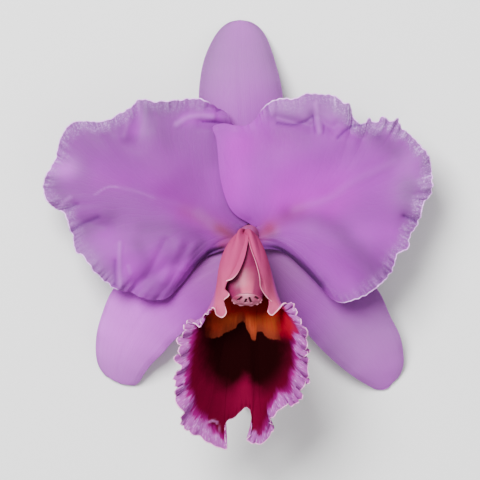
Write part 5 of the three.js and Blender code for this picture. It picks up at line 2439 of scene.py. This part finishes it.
LIP_MARGIN = (
    # Left lobe, along the seam.
    Stretch((-178, -150), 0, 1, (
        (-0.6, 1.8, 8.2), (-0.4, 0.1, 14.2), (-0.45, -1.8, 17.4), (-1.2, -6.0, 21.8),
        (-2.4, -9.8, 25.4), (-4, -13, 27.4), (-6, -15.2, 28.1),
    )),
    # Left lobe, front edge with its lappet.
    Stretch((-144, -94), 0.1, 1, (
        (-8, -16, 27.6), (-9.3, -16.6, 26.4), (-8.7, -18.7, 27.2), (-7.1, -21, 29),
        (-9, -22.9, 28.6), (-8.5, -25.2, 29.4), (-8.1, -27.4, 30.4), (-9.6, -28.9, 30.2),
        (-11.4, -27.9, 29), (-13, -25.6, 28.6),
    )),
    # Left side of the midlobe.
    Stretch((-90, -33), 1, 0, (
        (-14.6, -27.4, 29.4), (-16.9, -29.5, 28.4), (-16.4, -31.3, 29.8), (-17.5, -32.4, 29.8),
        (-19.2, -31, 28.6), (-20.4, -30, 28), (-22.6, -31.5, 27.6), (-23, -35, 28.6),
        (-25, -36.3, 26.8), (-24.6, -41.5, 28.2), (-26.1, -43.6, 26.2), (-24.6, -47.4, 27.4),
        (-26.5, -50, 25.2), (-25.6, -54.3, 25.8), (-26.5, -57.3, 23.6), (-23.6, -62.2, 24.2),
        (-24.2, -66.8, 21.2),
    )),
    # Both lappets and the notch.
    Stretch((-30, 28), 0.5, 0, (
        (-21, -70, 20.4), (-17.5, -71.6, 19.2), (-14, -74, 18.6), (-8, -76, 18),
        (-8.6, -72, 18.8), (-7.9, -66, 19.2), (-5.4, -64.8, 19.2), (-3, -62.5, 19.3),
        (-1, -61, 19.3), (0.5, -62.6, 19.3), (0.4, -71, 19), (-0.8, -72.8, 18.4),
        (1.5, -74, 18), (4, -74, 17.8), (6.5, -72.4, 18), (8.6, -69.3, 18.4),
        (7.4, -65.4, 20),
    )),
    # Right side of the midlobe.
    Stretch((31, 88), 1, 0, (
        (9, -63.5, 21.5), (12.3, -60, 23.4), (15.6, -59.9, 22), (18.4, -57.5, 23),
        (19, -52.6, 25.8), (20.9, -51.8, 24), (20.4, -48.5, 26.6), (21.6, -45.8, 25.2),
        (19.9, -42, 27.8), (21, -41, 26.2), (19.9, -38.9, 28.2), (20.9, -36.4, 26.8),
        (19.4, -32.6, 29), (17, -28.4, 28.2), (15.5, -24.4, 28.4),
    )),
    # Right lobe, front edge with its lappet.
    Stretch((92, 144), 0.1, 1, (
        (12.4, -24.2, 28.6), (9.6, -26.9, 29.6), (8, -28.1, 30.4), (6.6, -26.9, 30.4),
        (7.6, -24.9, 29.2), (7.8, -23.4, 28.8), (6, -21.4, 29.6), (4.1, -18.4, 30.1),
        (3.7, -14.8, 30),
    )),
    # Right lobe, along the seam.
    Stretch((152, 178), 0, 1, (
        (2.5, -9.8, 26.4), (0.7, -4.8, 21.5), (-0.25, -1, 16), (-0.4, 1.8, 8.3),
    )),
)
# How wide the pale frill is, at places along the margin counted in stations.
FRILL_WIDTHS = (
    (0, 0), (16, 0), (17, 1.2), (19, 2.4), (22, 3.4), (26, 4.0), (31, 4.0), (33, 6.2), (35, 5.8),
    (36, 4.6), (37, 3.4), (38, 0.9), (39, 0.2), (43, 0.15), (44, 1.6), (45.5, 3.6), (48, 4.0),
    (50, 3.4), (51, 3.2), (54, 5.0), (58, 5.4), (61, 4.8), (63, 4.2), (65, 3.0), (66, 1.2),
    (67, 0), (78, 0),
)
# How wide its thin, bright rim is, at the same places.
RIM_WIDTHS = (
    (0, 0.0), (4, 0.0), (5.5, 0.12), (7, 0.26), (16, 0.34), (36, 0.34), (38, 0.28), (40, 0.16),
    (43, 0.16), (45, 0.36), (64, 0.42), (68, 0.3), (71, 0.22), (73, 0.12), (76, 0.08), (78, 0.0),
)
# How strong its tight ruffles are, at the same places.
RUFFLE_STRENGTHS = (
    (0, 0), (14, 0), (17, 0.7), (22, 1.0), (30, 1.0), (34, 0.5), (36, 0.25), (38, 0),
    (43, 0), (46, 0.3), (50, 0.7), (53, 1.1), (62, 1.1), (65, 0.9), (66, 0.3), (67, 0), (78, 0),
)
# How far its veins bend away from the notch, at the same places.
LIP_SPREAD = (
    (33, 0), (35, -1.2), (36, -2.4), (37, -4.6), (38, -3), (39, -1.6), (40, -0.6), (42, 0),
    (43, 0.4), (44, 2.6), (45, 4.8), (46, 3.8), (47, 2.4), (48, 1.2), (49.5, 0),
)
# The curls in the two lappets: a hollow and the bright edge round it, in painted shade and
# painted highlight.
LIP_CREASES = (
    Crease(-0.9, 0.7, -0.9, ((-12.6, -67.7), (-12.4, -70.2))),
    Crease(0.45, 0.3, 0.35, ((-14.5, -66.3), (-12.6, -65.7), (-11.3, -67), (-11.1, -70),
                             (-12, -71.6))),
    Crease(-0.7, 0.6, -0.7, ((7.6, -66.8), (6.4, -70))),
)


# ------ studio


@dataclass
class Studio:
    """A pale floor, a camera looking straight down, and soft light from the bloom's top."""

    view_middle: Ramp = (0.86, -2.44)
    view_distance: float = 1800.0
    view_end: float = 10000.0
    lens: float = 375.0
    sensor: float = 36.0
    floor_size: float = 3000.0
    floor_level: float = -0.25
    paper_grain: float = 1.5
    paper_shade: Ramp = (0.78, 0.04)
    paper_height: float = 0.05
    paper_strength: float = 0.5
    paper: Surface = Surface(0.8, 0.2, 0.0, (1, 1, 1))
    light_distance: float = 1400.0
    key_direction: Point = (-0.3, 0.42, 0.86)
    key_size: float = 700.0
    key_power: float = 50.0
    fill_direction: Point = (0.5, -0.35, 0.8)
    fill_size: float = 1120.0
    fill_power: float = 5.0
    surround: float = 0.62

    def build(self) -> None:
        """Makes the floor, the camera, the lights and the pale surround."""
        self.camera()
        self.floor()
        self.light("key", self.key_direction, self.key_power, self.key_size)
        self.light("fill", self.fill_direction, self.fill_power, self.fill_size)
        world = bpy.data.worlds.new("surround")
        world.use_nodes = True
        background = world.node_tree.nodes["Background"]
        background.inputs["Color"].default_value = (1.0, 1.0, 1.0, 1)
        background.inputs["Strength"].default_value = self.surround
        bpy.context.scene.world = world

    def camera(self) -> None:
        """The camera: it looks straight down, with the dorsal sepal up in the frame."""
        data = bpy.data.cameras.new("camera")
        data.lens = self.lens
        data.sensor_width = self.sensor
        data.clip_end = self.view_end * MM
        camera = in_scene("camera", data)
        x, y = self.view_middle
        camera.location = (x * MM, y * MM, (BLOOM_HEIGHT + self.view_distance) * MM)
        bpy.context.scene.camera = camera

    def floor(self) -> None:
        """A pale sheet of paper under the bloom."""
        half = self.floor_size / 2
        corners = [(x * MM, y * MM, self.floor_level * MM)
                   for x, y in ((-half, -half), (half, -half), (half, half), (-half, half))]
        data = bpy.data.meshes.new("floor")
        data.from_pydata(corners, [], [(0, 1, 2, 3)])
        material, nodes = make_material("pale_paper")
        grain = nodes.noise(nodes.place(), self.paper_grain, 3.0)
        pale = nodes.scaled(grain, self.paper_shade)
        normal = nodes.bump(grain * self.paper_height, self.paper_strength)
        shade(nodes, self.paper, nodes.vector(pale, pale, pale), normal)
        data.materials.append(material)
        in_scene("floor", data)

    def light(self, name: str, direction: Point, power: float, size: float) -> None:
        """A soft square light that faces the bloom.

        Args:
            name: its name.
            direction: where it stands, seen from the bloom.
            power: its power in watts.
            size: its side in millimetres.
        """
        data = bpy.data.lights.new(name, "AREA")
        data.energy = power
        data.size = size * MM
        way = Vector(direction).normalized()
        in_scene(name, data).matrix_world = (
            Matrix.Translation(way * self.light_distance * MM)
            @ way.to_track_quat("Z", "Y").to_matrix().to_4x4()
        )


# ------ the whole


PETAL_FINISH = BladeFinish(
    name="petal_flesh", colour=(0.235, 0.024, 0.295), flushed=(0.29, 0.006, 0.34),
    claw=(0.24, 0.026, 0.13), pale=(0.36, 0.11, 0.44), grey=(0.2, 0.068, 0.25),
    frost=(0.5, 0.26, 0.62), rim=(0.8, 0.4, 0.92), rim_width=0.38,
    vein_count=38, vein_wander=1.0, vein_depth=0.025, margin_width=4.2,
)
SEPAL_FINISH = BladeFinish(
    name="sepal_flesh", colour=(0.3, 0.055, 0.36), flushed=(0.3, 0.02, 0.37),
    claw=(0.25, 0.05, 0.27), pale=(0.5, 0.13, 0.58), grey=(0.2, 0.04, 0.24),
    frost=(0.4, 0.15, 0.48), rim=(0.42, 0.16, 0.52), rim_width=0.3,
    vein_count=13, vein_wander=0.5, vein_depth=0.03, margin_width=1.2,
)


def build_bloom() -> None:
    """Builds every piece of the bloom, from its stalk to its anther cap."""
    build_effects()
    sepal_finish = SEPAL_FINISH.material()
    petal_finish = PETAL_FINISH.material()
    lip_finish = LipFinish()
    OvaryAndStalk().build(StalkFinish().material())
    CutEnd().build(CutFinish().material())
    for sepal in (DORSAL_SEPAL, LEFT_LATERAL_SEPAL, RIGHT_LATERAL_SEPAL):
        sepal.build(sepal_finish)
    for petal in (LEFT_PETAL, RIGHT_PETAL):
        petal.build(petal_finish)
    lip = Lip("lip_blade", "lip", LIP_MARGIN, FRILL_WIDTHS, RIM_WIDTHS, RUFFLE_STRENGTHS,
              LIP_CREASES, LIP_SPREAD)
    lip.build(lip_finish.inner(), lip_finish.outer())
    Column().build(ColumnFinish().material())
    AntherCap().build(CapFinish().material())
    Pollinia().build(PolliniaFinish().material())


def main() -> None:
    """Builds the studio and the bloom."""
    logging.basicConfig(level=logging.INFO, format="%(name)s: %(message)s")
    Studio().build()
    build_bloom()


if __name__ == "__main__":
    main()
